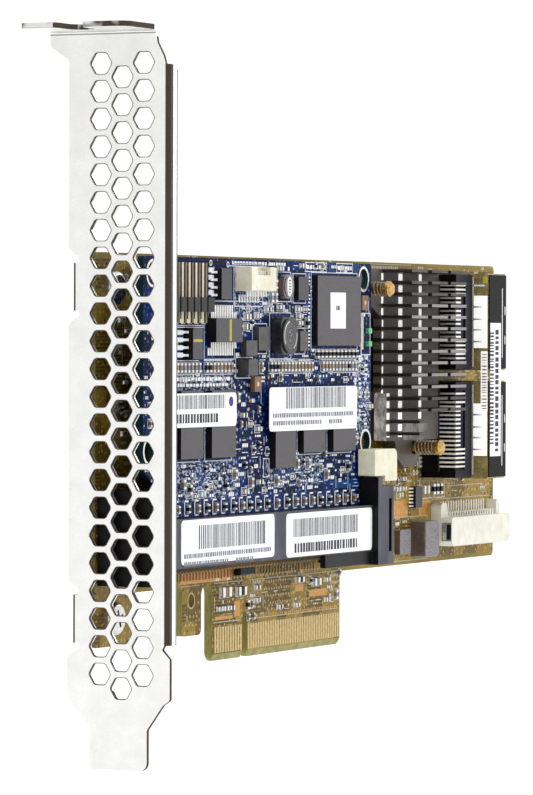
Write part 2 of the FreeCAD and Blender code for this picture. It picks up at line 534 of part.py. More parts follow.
# battery connector --------------------------------------------------------
wc = prism([(MX, 62.9), (10.45, 62.9), (10.45, 67.0), (MX, 67.0)], [0, 0.3, 0.3, 0], [],
           "y", 37.9, 47.6)
wc = wc.cut(box(8.2, 9.8, 38.8, 46.7, 63.9, 68))
wc = wc.cut(box(9.6, 11, 40.2, 45.3, 65.6, 68))
wl = []
for k in range(8):
    y = 39.1 + k * 1.04
    l = box(8.85, 9.15, y - 0.17, y + 0.17, 62.3, 66.4)
    l = l.fuse(box(MX, 9.15, y - 0.17, y + 0.17, 62.0, 62.3))
    l = l.fuse(box(MX, MX + 0.2, y - 0.17, y + 0.17, 61.0, 62.3))
    l = l.removeSplitter().Solids[0]
    wl.append(l)
    wc = wc.cut(l)
save("battery_connector", wc)
save("battery_connector_pins", wl)

# coils ---------------------------------------------------------------------
ov = prism([(54.9, 61.8), (59.1, 61.8), (59.1, 65.9), (54.9, 65.9)], 1.5, [], "x",
           MX, MX + 0.9)
ov = ov.fuse(prism([(55.2, 62.1), (58.8, 62.1), (58.8, 65.6), (55.2, 65.6)], 1.5, [], "x",
                   MX + 0.8, MX + 1.1)).removeSplitter()
save("oval_inductor", ov)
ri = fuse(rbox(MX, MX + 1.9, 51.8, 58.4, 52.2, 58.6, 1.7),
          cylx(55.1, 55.4, 3.0, MX + 1.8, MX + 2.2))
save("round_inductor", ri)
pi = prism([(128.2, 14.3), (134.9, 14.3), (134.9, 21.0), (128.2, 21.0)], 0.8, [], "x", 0, 3.0)
pe = [e for e in pi.Edges if e.BoundBox.XMin > 2.99]
pi = pi.makeFillet(0.35, pe)
save("power_inductor", pi)
save("small_inductor", rbox(0, 1.1, 120.8, 125.9, 15.0, 19.6, 0.5))

# capacitors, resistors, light-emitting diodes -----------------------------
save("module_capacitors", [rbox(MX, MX + h, a, b, c, d, 0.12) for a, b, c, d, h in (
    (45.1, 49.6, 52.9, 56.9, 0.95), (40.0, 44.2, 52.0, 54.6, 1.1),
    (61.8, 65.0, 52.8, 56.2, 0.9), (38.8, 42.4, 48.7, 51.4, 2.1))])
save("tantalum_capacitors", [rbox(MX, MX + h, a, b, c, d, 0.15) for a, b, c, d, h in (
    (88.0, 90.6, 60.0, 62.6, 0.8), (43.9, 46.5, 45.9, 48.5, 0.8))])
save("status_leds", [rbox(MX, MX + 0.7, 91.1, 92.4, z - 0.45, z + 0.45, 0.1)
                     for z in (56.3, 54.0)])

# side-band connector near the lower edge -----------------------------------
sc = prism([(137.6, 16.9), (138.5, 16.0), (165.0, 16.0), (165.9, 16.9), (165.9, 21.4),
            (137.6, 21.4)], [0.4, 0.4, 0.4, 0.4, 0.6, 0.6], [], "x", 0.0, 4.3)
sc = sc.fuse(prism([(137.6, 20.8), (141.4, 20.8), (140.2, 24.1), (137.6, 24.1)],
                   [0, 0, 0.9, 0.9], [], "x", 0.0, 2.1))
sc = sc.fuse(prism([(163.9, 20.8), (165.9, 20.8), (165.9, 24.1), (164.4, 24.1)],
                   [0, 0, 0.6, 0.4], [], "x", 0.0, 2.1)).removeSplitter()
sc = sc.cut(box(1.0, 3.3, 140.2, 163.4, 15, 19.6))
sl = []
for k in range(18):
    y = 141.9 + k * 1.22
    l = box(1.9, 2.1, y - 0.16, y + 0.16, 16.4, 22.3)
    l = l.fuse(box(0.0, 2.1, y - 0.16, y + 0.16, 22.1, 22.3))
    l = l.fuse(box(0.0, 0.2, y - 0.16, y + 0.16, 22.1, 24.2))
    l = l.removeSplitter().Solids[0]
    sl.append(l)
    sc = sc.cut(l)
save("side_connector", sc.removeSplitter())
save("side_connector_leads", sl)

# labels ---------------------------------------------------------------------
TL = 0.1
save("module_labels", [rbox(MX + 1.1, MX + 1.1 + TL, a, b, c, d, 0.8) for a, b, c, d in (
    (11.5, 36.0, 40.3, 45.9), (48.9, 84.8, 39.1, 46.6))])
save("socket_labels", [rbox(SOC_X1, SOC_X1 + TL, a, b, c, d, 0.9) for a, b, c, d in (
    (12.6, 48.0, 17.9, 25.2), (52.8, 88.4, 17.5, 25.0))])
save("flash_label", box(MX + 1.0, MX + 1.0 + TL, 73.9, 80.2, 56.7, 63.0))
save("connector_label", box(SAS_XB, SAS_XB + TL, 141.0, 146.0, 32.9, 57.9))
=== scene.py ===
import bpy
import math
import random
from mathutils import Vector, Matrix


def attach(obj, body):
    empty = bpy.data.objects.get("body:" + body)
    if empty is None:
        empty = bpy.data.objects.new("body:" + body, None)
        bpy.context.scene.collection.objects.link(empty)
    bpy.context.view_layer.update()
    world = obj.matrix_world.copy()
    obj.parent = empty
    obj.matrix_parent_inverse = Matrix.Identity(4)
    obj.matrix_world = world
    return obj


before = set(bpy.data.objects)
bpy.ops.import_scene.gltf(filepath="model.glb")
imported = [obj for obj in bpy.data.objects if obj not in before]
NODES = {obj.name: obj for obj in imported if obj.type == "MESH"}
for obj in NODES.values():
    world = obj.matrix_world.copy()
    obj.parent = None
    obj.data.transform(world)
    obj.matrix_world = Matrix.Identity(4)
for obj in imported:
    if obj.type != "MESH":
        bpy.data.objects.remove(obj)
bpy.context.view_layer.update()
DX, DY = 0.785, -57.15          # card millimetres to the row frame


def T(x, y, z):
    return ((x + DX) / 1000.0, (y + DY) / 1000.0, z / 1000.0)


def lin(r, g, b):
    o = []
    for c in (r, g, b):
        c = c / 255.0
        o.append(c / 12.92 if c <= 0.04045 else ((c + 0.055) / 1.055) ** 2.4)
    return (o[0], o[1], o[2], 1.0)


# ---------------------------------------------------------------- materials
class Mat:
    """One node material. Coordinates are the object's own, in millimetres."""

    def __init__(self, name, base=(200, 200, 200), rough=0.5, metal=0.0, spec=0.5,
                 coat=0.0, coat_rough=0.1, take=None):
        m = take or bpy.data.materials.new(name)
        m.use_nodes = True
        self.m = m
        self.t = m.node_tree
        self.t.nodes.clear()
        self.out = self.t.nodes.new("ShaderNodeOutputMaterial")
        self.b = self.t.nodes.new("ShaderNodeBsdfPrincipled")
        self.t.links.new(self.b.outputs[0], self.out.inputs[0])
        self.b.inputs["Base Color"].default_value = lin(*base)
        self.b.inputs["Roughness"].default_value = rough
        self.b.inputs["Metallic"].default_value = metal
        self.b.inputs["Specular IOR Level"].default_value = spec
        self.b.inputs["Coat Weight"].default_value = coat
        self.b.inputs["Coat Roughness"].default_value = coat_rough
        self._p = None
        self._s = None

    def node(self, kind, **props):
        n = self.t.nodes.new(kind)
        for k, v in props.items():
            setattr(n, k, v)
        return n

    def put(self, sock, v):
        if isinstance(v, bpy.types.NodeSocket):
            self.t.links.new(v, sock)
        elif v is not None:
            sock.default_value = v

    def pos(self):
        if self._p is None:
            c = self.node("ShaderNodeTexCoord")
            s = self.node("ShaderNodeVectorMath", operation="MULTIPLY_ADD")
            self.put(s.inputs[0], c.outputs["Object"])
            s.inputs[1].default_value = (1000.0, 1000.0, 1000.0)
            s.inputs[2].default_value = (-DX, -DY, 0.0)
            self._p = s.outputs[0]
            q = self.node("ShaderNodeSeparateXYZ")
            self.put(q.inputs[0], self._p)
            self._s = q.outputs
        return self._p

    def xyz(self, i):
        self.pos()
        return self._s[i]

    def normal(self, i):
        g = self.node("ShaderNodeTexCoord")
        q = self.node("ShaderNodeSeparateXYZ")
        self.put(q.inputs[0], g.outputs["Normal"])
        return q.outputs[i]

    def op(self, kind, a, b=None, c=None, clamp=False):
        n = self.node("ShaderNodeMath", operation=kind)
        n.use_clamp = clamp
        self.put(n.inputs[0], a)
        self.put(n.inputs[1], b)
        self.put(n.inputs[2], c)
        return n.outputs[0]

    def band(self, v, lo, hi, soft=0.03):
        a = self.op("SUBTRACT", v, lo - soft / 2)
        a = self.op("DIVIDE", a, soft, clamp=True)
        b = self.op("SUBTRACT", hi + soft / 2, v)
        b = self.op("DIVIDE", b, soft, clamp=True)
        return self.op("MULTIPLY", a, b)

    def above(self, v, lo, soft=0.03):
        a = self.op("SUBTRACT", v, lo - soft / 2)
        return self.op("DIVIDE", a, soft, clamp=True)

    def mul(self, *a):
        r = a[0]
        for k in a[1:]:
            r = self.op("MULTIPLY", r, k)
        return r

    def any(self, *a):
        r = a[0]
        for k in a[1:]:
            r = self.op("MAXIMUM", r, k)
        return r

    def noise(self, scale, detail=3.0, rough=0.55, stretch=None, offset=0.0):
        n = self.node("ShaderNodeTexNoise")
        p = self.pos()
        if stretch or offset:
            s = self.node("ShaderNodeVectorMath", operation="MULTIPLY_ADD")
            self.put(s.inputs[0], p)
            s.inputs[1].default_value = stretch or (1, 1, 1)
            s.inputs[2].default_value = (offset, offset, offset)
            p = s.outputs[0]
        self.put(n.inputs["Vector"], p)
        n.inputs["Scale"].default_value = scale
        n.inputs["Detail"].default_value = detail
        n.inputs["Roughness"].default_value = rough
        return n.outputs["Fac"]

    def range(self, v, a, b, c, d):
        n = self.node("ShaderNodeMapRange")
        self.put(n.inputs[0], v)
        for i, k in enumerate((a, b, c, d)):
            n.inputs[i + 1].default_value = k
        return n.outputs[0]

    def mix(self, f, a, b):
        n = self.node("ShaderNodeMix", data_type="RGBA")
        self.put(n.inputs[0], f)
        self.put(n.inputs[6], a if isinstance(a, bpy.types.NodeSocket) else lin(*a))
        self.put(n.inputs[7], b if isinstance(b, bpy.types.NodeSocket) else lin(*b))
        return n.outputs[2]

    def color(self, sock):
        self.put(self.b.inputs["Base Color"], sock)
        return self

    def rough(self, sock):
        self.put(self.b.inputs["Roughness"], sock)
        return self

    def bump(self, h, strength=0.2, dist=0.00003):
        n = self.node("ShaderNodeBump")
        n.inputs["Strength"].default_value = strength
        n.inputs["Distance"].default_value = dist
        self.put(n.inputs["Height"], h)
        self.put(self.b.inputs["Normal"], n.outputs[0])
        return self


def plastic(m, a, b, scale=0.9, r0=0.42, r1=0.58, grain=7.0, strength=0.12):
    """Moulded plastic: two close tones in soft clouds, and a fine moulded grain."""
    m.color(m.mix(m.range(m.noise(scale, 3.0), 0.35, 0.65, 0.0, 1.0), a, b))
    g = m.noise(grain, 2.0)
    m.rough(m.range(g, 0.3, 0.7, r0, r1))
    m.bump(g, strength, 0.00002)
    return m


SLOT = {}


def slot(name, **kw):
    SLOT[name] = Mat(name, take=bpy.data.materials.get(name), **kw)
    return SLOT[name]


# zinc-plated sheet steel: bright faces; the edge faces, bends and fold lines are painted dark as painted shade and
# painted dark reflection
m = slot("bracket_steel", metal=0.9, rough=0.36)
cloud = m.range(m.noise(0.22, 4.0, 0.6), 0.35, 0.65, 0.0, 1.0)
fine = m.range(m.noise(2.4, 3.0, 0.6), 0.3, 0.7, 0.0, 1.0)
tone = m.mix(cloud, (238, 238, 236), (249, 249, 247))
tone = m.mix(m.op("MULTIPLY", fine, 0.30), tone, (222, 222, 219))
# painted shade: faces turned to the back (+Y) and to -X are painted darker
back_face_shade = m.any(m.above(m.normal(1), 0.5, 0.1), m.above(m.op("MULTIPLY", m.normal(0), -1.0), 0.5, 0.1))
tone = m.mix(m.op("MULTIPLY", back_face_shade, 0.7), tone, m.mix(cloud, (158, 159, 160), (186, 187, 187)))
ny = m.op("ABSOLUTE", m.normal(1))
nz = m.op("ABSOLUTE", m.normal(2))
nx = m.op("ABSOLUTE", m.normal(0))
# painted shade and painted dark reflection: the thin edge faces of the sheet, the tab's side and top edges, the flange
# bend band, the two lines along the top fold and the ear bend all get the dark brown colour below
edge_face_shade = m.mul(m.band(m.xyz(1), 0.05, 0.82, 0.02), m.op("SUBTRACT", 1.0, m.above(m.xyz(2), 103.4)),
                m.op("SUBTRACT", 1.0, m.above(ny, 0.5, 0.1)))
lip = m.mul(m.band(m.xyz(0), -0.9, 11.8), m.band(m.xyz(2), -2.0, 102.0), m.above(m.xyz(1), 0.5, 0.06))
edge_face_shade = m.mul(edge_face_shade, m.op("SUBTRACT", 1.0, lip))
edge_z = m.mul(m.above(m.xyz(2), 104.3), m.above(m.op("MULTIPLY", m.normal(1), -1.0), 0.6, 0.1),
               m.range(m.noise(0.16, 2.0, 0.6), 0.42, 0.5, 0.15, 1.0))
tabside = m.any(m.mul(m.op("SUBTRACT", 1.0, m.above(m.xyz(1), -0.5)), m.above(nx, 0.6, 0.1)), edge_z)
bendband = m.mul(m.above(m.xyz(0), 13.2), m.band(m.xyz(2), 5.4, 99.2),
                 m.any(m.op("SUBTRACT", 1.0, m.above(m.xyz(0), 14.1)), m.op("MULTIPLY", m.band(m.xyz(1), 2.05, 2.5, 0.06), 0.8)))
foldline = m.mul(m.above(m.op("MULTIPLY", m.normal(1), -1.0), 0.2, 0.1),
                 m.any(m.band(m.xyz(2), 103.9, 104.1, 0.1), m.op("MULTIPLY", m.band(m.xyz(2), 104.42, 104.58, 0.08), 0.6)))
earband = m.mul(m.above(m.op("MULTIPLY", m.normal(0), -1.0), 0.25, 0.1), m.band(m.xyz(1), 0.05, 1.2, 0.08))
dark = m.any(edge_face_shade, tabside, bendband, earband, m.op("MULTIPLY", foldline, 0.75))
m.put(m.b.inputs["Specular IOR Level"], m.range(dark, 0.0, 1.0, 0.5, 0.06))
m.color(m.mix(m.op("MULTIPLY", dark, 0.98), tone, (56, 44, 34)))
m.put(m.b.inputs["Metallic"], m.range(dark, 0.0, 1.0, 0.9, 0.0))
m.rough(m.op("ADD", m.range(m.noise(1.3, 4.0), 0.3, 0.7, 0.30, 0.42), m.op("MULTIPLY", dark, 0.25)))
m.bump(m.noise(3.5, 4.0, 0.65), 0.10, 0.00003)


def board(m, base, pour, gap, line, dot, edge, x_face, via_scale=0.62):
    """Solder mask over copper: poured patches, bundles of traces and tented vias."""
    yz = m.node("ShaderNodeCombineXYZ")
    m.put(yz.inputs[0], m.xyz(1))
    m.put(yz.inputs[1], m.xyz(2))

    def cell(scale, metric="EUCLIDEAN", rand=1.0, feature="F1"):
        v = m.node("ShaderNodeTexVoronoi", voronoi_dimensions="2D", feature=feature, distance=metric)
        m.put(v.inputs["Vector"], yz.outputs[0])
        v.inputs["Scale"].default_value = scale
        v.inputs["Randomness"].default_value = rand
        return v
    big = cell(0.17, "CHEBYCHEV")
    sep = m.node("ShaderNodeSeparateColor")
    m.put(sep.inputs[0], big.outputs["Color"])
    is_pour = m.above(sep.outputs[0], 0.52, 0.02)
    vert = m.above(sep.outputs[1], 0.5, 0.02)
    t = 0.62
    fy = m.op("FRACT", m.op("DIVIDE", m.xyz(1), t))
    fz = m.op("FRACT", m.op("DIVIDE", m.xyz(2), t))
    ly = m.band(fy, 0.25, 0.75, 0.12)
    lz = m.band(fz, 0.25, 0.75, 0.12)
    lines = m.op("ADD", m.op("MULTIPLY", ly, vert), m.op("MULTIPLY", lz, m.op("SUBTRACT", 1.0, vert)))
    c = m.mix(lines, gap, line)
    c = m.mix(is_pour, c, pour)
    c = m.mix(m.range(m.noise(0.5, 4.0, 0.65), 0.40, 0.66, 0.0, 0.6), c, base)
    v = cell(via_scale, "EUCLIDEAN", 0.75)
    d = m.op("SUBTRACT", 1.0, m.above(v.outputs["Distance"], 0.15, 0.05))
    c = m.mix(m.op("MULTIPLY", d, 0.8), c, dot)
    v2 = cell(via_scale * 0.45, "EUCLIDEAN", 0.9)
    d2 = m.op("SUBTRACT", 1.0, m.above(v2.outputs["Distance"], 0.06, 0.02))
    c = m.mix(d2, c, (26, 22, 14))
    side = m.op("SUBTRACT", 1.0, m.above(m.op("ABSOLUTE", m.normal(0)), 0.5, 0.1))
    layers = m.range(m.noise(0.8, 2.0, 0.5, (9.0, 0.6, 0.6)), 0.3, 0.7, 0.0, 1.0)
    c = m.mix(side, c, m.mix(layers, edge, tuple(int(k * 0.72) for k in edge)))
    m.color(c)
    m.rough(m.range(m.noise(1.6, 3.0), 0.3, 0.7, 0.26, 0.44))
    h = m.op("ADD", m.op("MULTIPLY", lines, 0.6), m.op("MULTIPLY", is_pour, 0.6))
    m.bump(m.op("ADD", h, m.op("MULTIPLY", d, 0.6)), 0.35, 0.00003)


m = slot("main_board_mask", spec=0.1)
board(m, (116, 96, 36), (152, 126, 48), (72, 57, 20), (122, 100, 38), (190, 164, 98), (150, 142, 78), 0)
base_link = m.b.inputs["Base Color"].links[0].from_socket
smooth = m.any(m.above(m.xyz(2), 67.95), m.mul(m.op("SUBTRACT", 1.0, m.above(m.xyz(2), 13.9)), m.above(m.xyz(1), 97.0)))
toned = m.mix(m.range(m.noise(0.12, 3.0, 0.6), 0.35, 0.65, 0.0, 1.0), (120, 100, 22), (146, 126, 44))
m.color(m.mix(m.op("MULTIPLY", smooth, 0.85), base_link, toned))
base_link = m.b.inputs["Base Color"].links[0].from_socket
bevel = m.op("SUBTRACT", 1.0, m.above(m.xyz(2), 1.15, 0.08))
m.color(m.mix(m.op("MULTIPLY", bevel, 0.9), base_link, m.mix(m.range(m.noise(0.5, 3.0), 0.35, 0.65, 0.0, 1.0), (128, 126, 72), (158, 156, 102))))
base_link = m.b.inputs["Base Color"].links[0].from_socket
back = m.mul(m.above(m.op("MULTIPLY", m.normal(0), -1.0), 0.5, 0.1), m.above(m.xyz(2), 4.6))
m.color(m.mix(m.op("MULTIPLY", back, 0.62), base_link, m.mix(m.range(m.noise(0.2, 3.0), 0.35, 0.65, 0.0, 1.0), (124, 103, 38), (140, 118, 46))))
m = slot("module_mask", spec=0.03)
board(m, (4, 20, 54), (6, 40, 96), (1, 8, 28), (5, 30, 76), (78, 100, 140), (28, 60, 66), 0)
crowd = m.any(m.mul(m.band(m.xyz(2), 28.2, 34.6, 0.6), m.band(m.xyz(1), 8.0, 38.5, 1.0)),
              m.mul(m.band(m.xyz(2), 29.6, 34.6, 0.6), m.band(m.xyz(1), 50.0, 72.0, 1.0)),
              m.mul(m.band(m.xyz(2), 45.8, 49.2, 0.4), m.band(m.xyz(1), 8.0, 37.0, 1.0)),
              m.mul(m.band(m.xyz(2), 36.6, 52.0, 0.4), m.band(m.xyz(1), 86.0, 92.8, 0.4)),
              m.mul(m.band(m.xyz(2), 59.0, 66.8, 0.4), m.band(m.xyz(1), 37.4, 53.0, 0.4)))
speck = m.above(m.noise(1.9, 3.0, 0.7, (1.0, 0.55, 1.0)), 0.545, 0.05)
face = m.above(m.normal(0), 0.5, 0.1)
base_link = m.b.inputs["Base Color"].links[0].from_socket
m.color(m.mix(m.mul(crowd, speck, face, 0.85), base_link, (166, 176, 190)))


def metal(m, a, b, r0, r1, scale=1.4, strength=0.1):
    n = m.noise(scale, 4.0, 0.6)
    m.color(m.mix(m.range(n, 0.35, 0.65, 0.0, 1.0), a, b))
    m.rough(m.range(m.noise(scale * 3.1, 3.0), 0.3, 0.7, r0, r1))
    m.bump(m.noise(scale * 4.0, 3.0), strength, 0.00002)
    return m


m = metal(slot("gold_plate", metal=0.75), (184, 158, 104), (208, 184, 130), 0.26, 0.42)
base_link = m.b.inputs["Base Color"].links[0].from_socket
# header pins: the near (-Y) faces are painted pale and glow, a painted highlight; their other faces are painted dark
# brown, painted shade
header = m.mul(m.above(m.xyz(2), 50.0), m.op("SUBTRACT", 1.0, m.above(m.xyz(1), 30.0)))
pin_highlight = m.mul(header, m.above(m.op("MULTIPLY", m.normal(1), -1.0), 0.6, 0.1), m.op("SUBTRACT", 1.0, m.above(m.xyz(0), 8.72, 0.05)))
m.color(m.mix(m.op("MULTIPLY", header, 0.9), base_link, m.mix(pin_highlight, (72, 55, 35), (255, 246, 222))))
m.put(m.b.inputs["Metallic"], m.range(header, 0.0, 1.0, 0.75, 0.15))
m.b.inputs["Emission Color"].default_value = lin(255, 244, 218)
m.put(m.b.inputs["Emission Strength"], m.op("MULTIPLY", pin_highlight, 0.35))
metal(slot("screw_steel", metal=1.0), (196, 196, 194), (222, 222, 220), 0.22, 0.34)
metal(slot("solder", metal=1.0), (188, 190, 192), (216, 217, 218), 0.25, 0.42, 3.0)
m = metal(slot("pin_brass", metal=0.8), (224, 204, 156), (246, 232, 200), 0.2, 0.32)
base_link = m.b.inputs["Base Color"].links[0].from_socket
rear = m.above(m.xyz(1), 60.0, 1.0)
turned = m.mix(m.range(m.noise(1.6, 3.0), 0.35, 0.65, 0.0, 1.0), (172, 128, 60), (222, 182, 112))
m.color(m.mix(rear, base_link, turned))
metal(slot("spring_steel", metal=1.0), (112, 98, 72), (158, 142, 112), 0.2, 0.34, 2.4)
m = metal(slot("contact_tin", metal=0.25), (240, 238, 230), (250, 249, 244), 0.3, 0.45, 2.0)
base_link = m.b.inputs["Base Color"].links[0].from_socket
# painted shade: the contact tails under the socket are painted a dark olive-bronze in place of tin, more orange in the
# middle band
tails = m.mul(m.op("SUBTRACT", 1.0, m.above(m.xyz(2), 17.5)), m.op("SUBTRACT", 1.0, m.above(m.xyz(1), 92.0)))
m.color(m.mix(m.op("MULTIPLY", tails, 0.9), base_link, m.mix(m.band(m.xyz(1), 32.3, 52.0, 0.2), (112, 91, 38), (150, 108, 48))))
m = metal(slot("lead_tin", metal=0.1), (240, 240, 238), (252, 252, 250), 0.28, 0.42, 2.0)
base_link = m.b.inputs["Base Color"].links[0].from_socket
# painted shade: the side faces (±Y) of the leads of the chip at Y 26 to 37.4 are painted dark
flank = m.mul(m.band(m.xyz(1), 26.0, 37.4), m.band(m.xyz(2), 51.5, 61.2), m.above(m.op("ABSOLUTE", m.normal(1)), 0.6, 0.1))
m.color(m.mix(m.op("MULTIPLY", flank, 0.85), base_link, (52, 52, 56)))
plastic(slot("coil_shield", spec=0.5), (22, 22, 24), (34, 34, 37), 0.9, 0.24, 0.4)
m = metal(slot("shield_steel", metal=0.55), (138, 122, 72), (176, 160, 108), 0.2, 0.34, 0.5, 0.05)
# chip bodies: the top faces (+X) are painted lighter grey than the near-black sides, painted light on the tops and
# painted shade on the sides
for name, a, b in (("chip_epoxy", (70, 70, 74), (86, 85, 90)), ("memory_epoxy", (78, 76, 79), (94, 92, 95))):
    m = plastic(slot(name, spec=0.15), (10, 10, 12), (20, 20, 23), 0.8, 0.42, 0.6)
    base_link = m.b.inputs["Base Color"].links[0].from_socket
    grit = m.range(m.noise(3.4, 3.0, 0.7), 0.3, 0.7, 0.0, 1.0)
    m.color(m.mix(m.above(m.normal(0), 0.5, 0.1), base_link, m.mix(grit, a, b)))
plastic(slot("thermal_pad"), (118, 122, 128), (136, 140, 146), 0.8, 0.7, 0.85)
m = plastic(slot("receptacle_plastic", spec=0.06), (10, 10, 11), (18, 18, 19), 0.4, 0.36, 0.5)
# painted sheen: the low +X faces of the black receptacle bodies are painted blue-grey
low = m.op("SUBTRACT", 1.0, m.above(m.xyz(0), 7.6, 0.2))
base_link = m.b.inputs["Base Color"].links[0].from_socket
m.color(m.mix(m.mul(low, m.above(m.normal(0), 0.5, 0.1), 0.9), base_link, (50, 50, 62)))
m = plastic(slot("socket_plastic", spec=0.15), (10, 10, 12), (18, 18, 21), 0.4, 0.34, 0.48)
base_link = m.b.inputs["Base Color"].links[0].from_socket
# painted sheen: the socket's +X faces are painted lighter blue-grey; the lower part (z below 17.3) stays near black as
# painted shade
sheen = m.range(m.noise(0.22, 4.0, 0.6, (1.0, 1.0, 0.5)), 0.35, 0.65, 0.0, 1.0)
lower = m.mul(m.op("SUBTRACT", 1.0, m.above(m.xyz(2), 17.3)), m.op("SUBTRACT", 1.0, m.above(m.xyz(1), 88.6)))
m.color(m.mix(m.mul(m.above(m.normal(0), 0.5, 0.1), m.op("SUBTRACT", 1.0, lower)), base_link, m.mix(sheen, (56, 56, 66), (84, 84, 96))))
plastic(slot("header_plastic", spec=0.25), (12, 12, 14), (22, 22, 25), 0.6, 0.36, 0.5)
for name, a, b in (("latch_cream", (214, 208, 182), (228, 223, 202)),
                   ("white_plastic", (212, 206, 184), (228, 224, 206)),
                   ("side_connector_cream", (214, 212, 198), (228, 226, 214))):
    m = plastic(slot(name, spec=0.4), a, b, 0.45, 0.42, 0.56)
    m.b.inputs["Subsurface Weight"].default_value = 0.0
m = plastic(slot("ferrite_grey", spec=0.2), (104, 101, 104), (138, 134, 138), 2.6, 0.34, 0.5, 9.0, 0.2)
base_link = m.b.inputs["Base Color"].links[0].from_socket
front = m.above(m.op("MULTIPLY", m.normal(1), -1.0), 0.6, 0.1)
blotch = m.range(m.noise(0.5, 3.0), 0.35, 0.65, 0.0, 1.0)
m.color(m.mix(m.op("MULTIPLY", front, 0.92), base_link, m.mix(blotch, (66, 54, 46), (92, 76, 64))))
plastic(slot("ceramic_brown"), (44, 43, 45), (66, 63, 62), 0.7, 0.36, 0.5, 9.0, 0.2)
plastic(slot("tantalum_yellow"), (96, 70, 50), (120, 88, 62), 0.9, 0.4, 0.5)
m = slot("led_green", rough=0.12, spec=0.6, coat=0.5)
m.color(m.mix(m.range(m.noise(1.8), 0.35, 0.65, 0.0, 1.0), (40, 140, 84), (92, 196, 130)))
m = slot("label_paper", rough=0.5, spec=0.3)
fibre = m.noise(3.0, 4.0, 0.7)
m.color(m.mix(m.range(fibre, 0.3, 0.7, 0.0, 1.0), (238, 239, 243), (247, 248, 251)))
m.rough(m.range(fibre, 0.3, 0.7, 0.45, 0.6))
m.bump(fibre, 0.08, 0.00002)

# dark anodised sink: painted reflection on the tips of the middle rows; bare saw-cut floor strips painted near white
# with a glow, which is painted light, and broken at the fin rows; painted highlights on the flat below the fins; fin
# sides painted darker as painted shade
m = slot("heatsink_anodised", metal=0.35, spec=0.5)
cloud = m.range(m.noise(0.35, 4.0, 0.6), 0.3, 0.7, 0.0, 1.0)
fine = m.range(m.noise(3.0, 4.0, 0.65), 0.3, 0.7, 0.0, 1.0)
c = m.mix(cloud, (42, 37, 32), (66, 60, 55))
c = m.mix(m.op("MULTIPLY", fine, 0.5), c, (30, 26, 22))
up = m.above(m.normal(0), 0.6, 0.1)
# painted reflection: a light band on the fin tips of the middle rows
tip_reflection = m.mul(m.above(m.xyz(0), 10.25), m.band(m.xyz(2), 45.4, 61.6), up)
low_ribs = m.mul(m.band(m.xyz(1), 104.5, 104.8), m.above(m.xyz(2), 45.0), m.band(m.xyz(0), 2.7, 4.48))
c = m.mix(m.mul(low_ribs, m.range(fine, 0.0, 1.0, 0.3, 0.9)), c, (112, 106, 98))
strips = m.any(m.mul(m.band(m.xyz(1), 104.4, 105.3), m.above(m.xyz(2), 45.0)),
               m.mul(m.band(m.xyz(1), 106.9, 108.2), m.band(m.xyz(2), 37.0, 45.0)),
               m.mul(m.band(m.xyz(1), 112.05, 113.85), m.band(m.xyz(2), 37.0, 67.4)),
               m.mul(m.band(m.xyz(1), 121.3, 122.6), m.band(m.xyz(2), 40.0, 67.4)))
floor_m = m.mul(strips, m.band(m.xyz(0), 4.2, 5.0), up)
floor_base = floor_m
flat_highlight_area = m.mul(m.band(m.xyz(0), 4.2, 5.0), m.band(m.xyz(1), 114.5, 130.0), m.band(m.xyz(2), 36.4, 39.8), up)
flange = m.mul(m.band(m.xyz(1), 100.9, 106.9), m.band(m.xyz(2), 36.4, 45.0), up)
floor_all = m.mul(m.band(m.xyz(0), 4.2, 4.8), up)
c = m.mix(m.mul(floor_all, m.range(fine, 0.0, 1.0, 0.25, 0.95)), c, (92, 85, 78))
# painted shade: the fin sides and ends are painted darker than the tips and floor
fin_face = m.mul(m.above(m.xyz(0), 4.7), m.op("SUBTRACT", 1.0, up))
c = m.mix(m.op("MULTIPLY", fin_face, 0.7), c, (24, 20, 17))
c = m.mix(m.op("MULTIPLY", tip_reflection, m.range(fine, 0.0, 1.0, 0.6, 0.9)), c, (150, 146, 146))
comb = m.op("FRACT", m.op("ADD", m.op("DIVIDE", m.op("SUBTRACT", m.xyz(2), 37.67), 2.109), 0.5))
open_gap = m.op("SUBTRACT", 1.0, m.band(comb, 0.29, 0.71, 0.05))
floor_m = m.mul(floor_base, m.any(open_gap, m.op("SUBTRACT", 1.0, m.above(m.xyz(2), 36.9))))
# the saw-cut floor strips are real bare metal; their near-white colour and the glow below are painted light
c = m.mix(m.op("MULTIPLY", floor_m, 0.97), c, (252, 251, 249))
m.b.inputs["Emission Color"].default_value = lin(250, 249, 246)
m.put(m.b.inputs["Emission Strength"], m.op("MULTIPLY", floor_m, 0.45))
# painted highlights: soft light blobs on the flat below the fins
highlight_blobs = m.range(m.noise(0.28, 2.0, 0.5, (1, 1, 0.7), 7.0), 0.48, 0.58, 0.0, 1.0)
c = m.mix(m.mul(flat_highlight_area, highlight_blobs, 0.7), c, (150, 146, 140))
c = m.mix(m.mul(flange, m.range(m.noise(0.55, 4.0, 0.7), 0.42, 0.62, 0.1, 0.9)), c, (176, 172, 168))
m.color(c)
m.rough(m.range(fine, 0.0, 1.0, 0.34, 0.52))
m.bump(fine, 0.15, 0.00003)

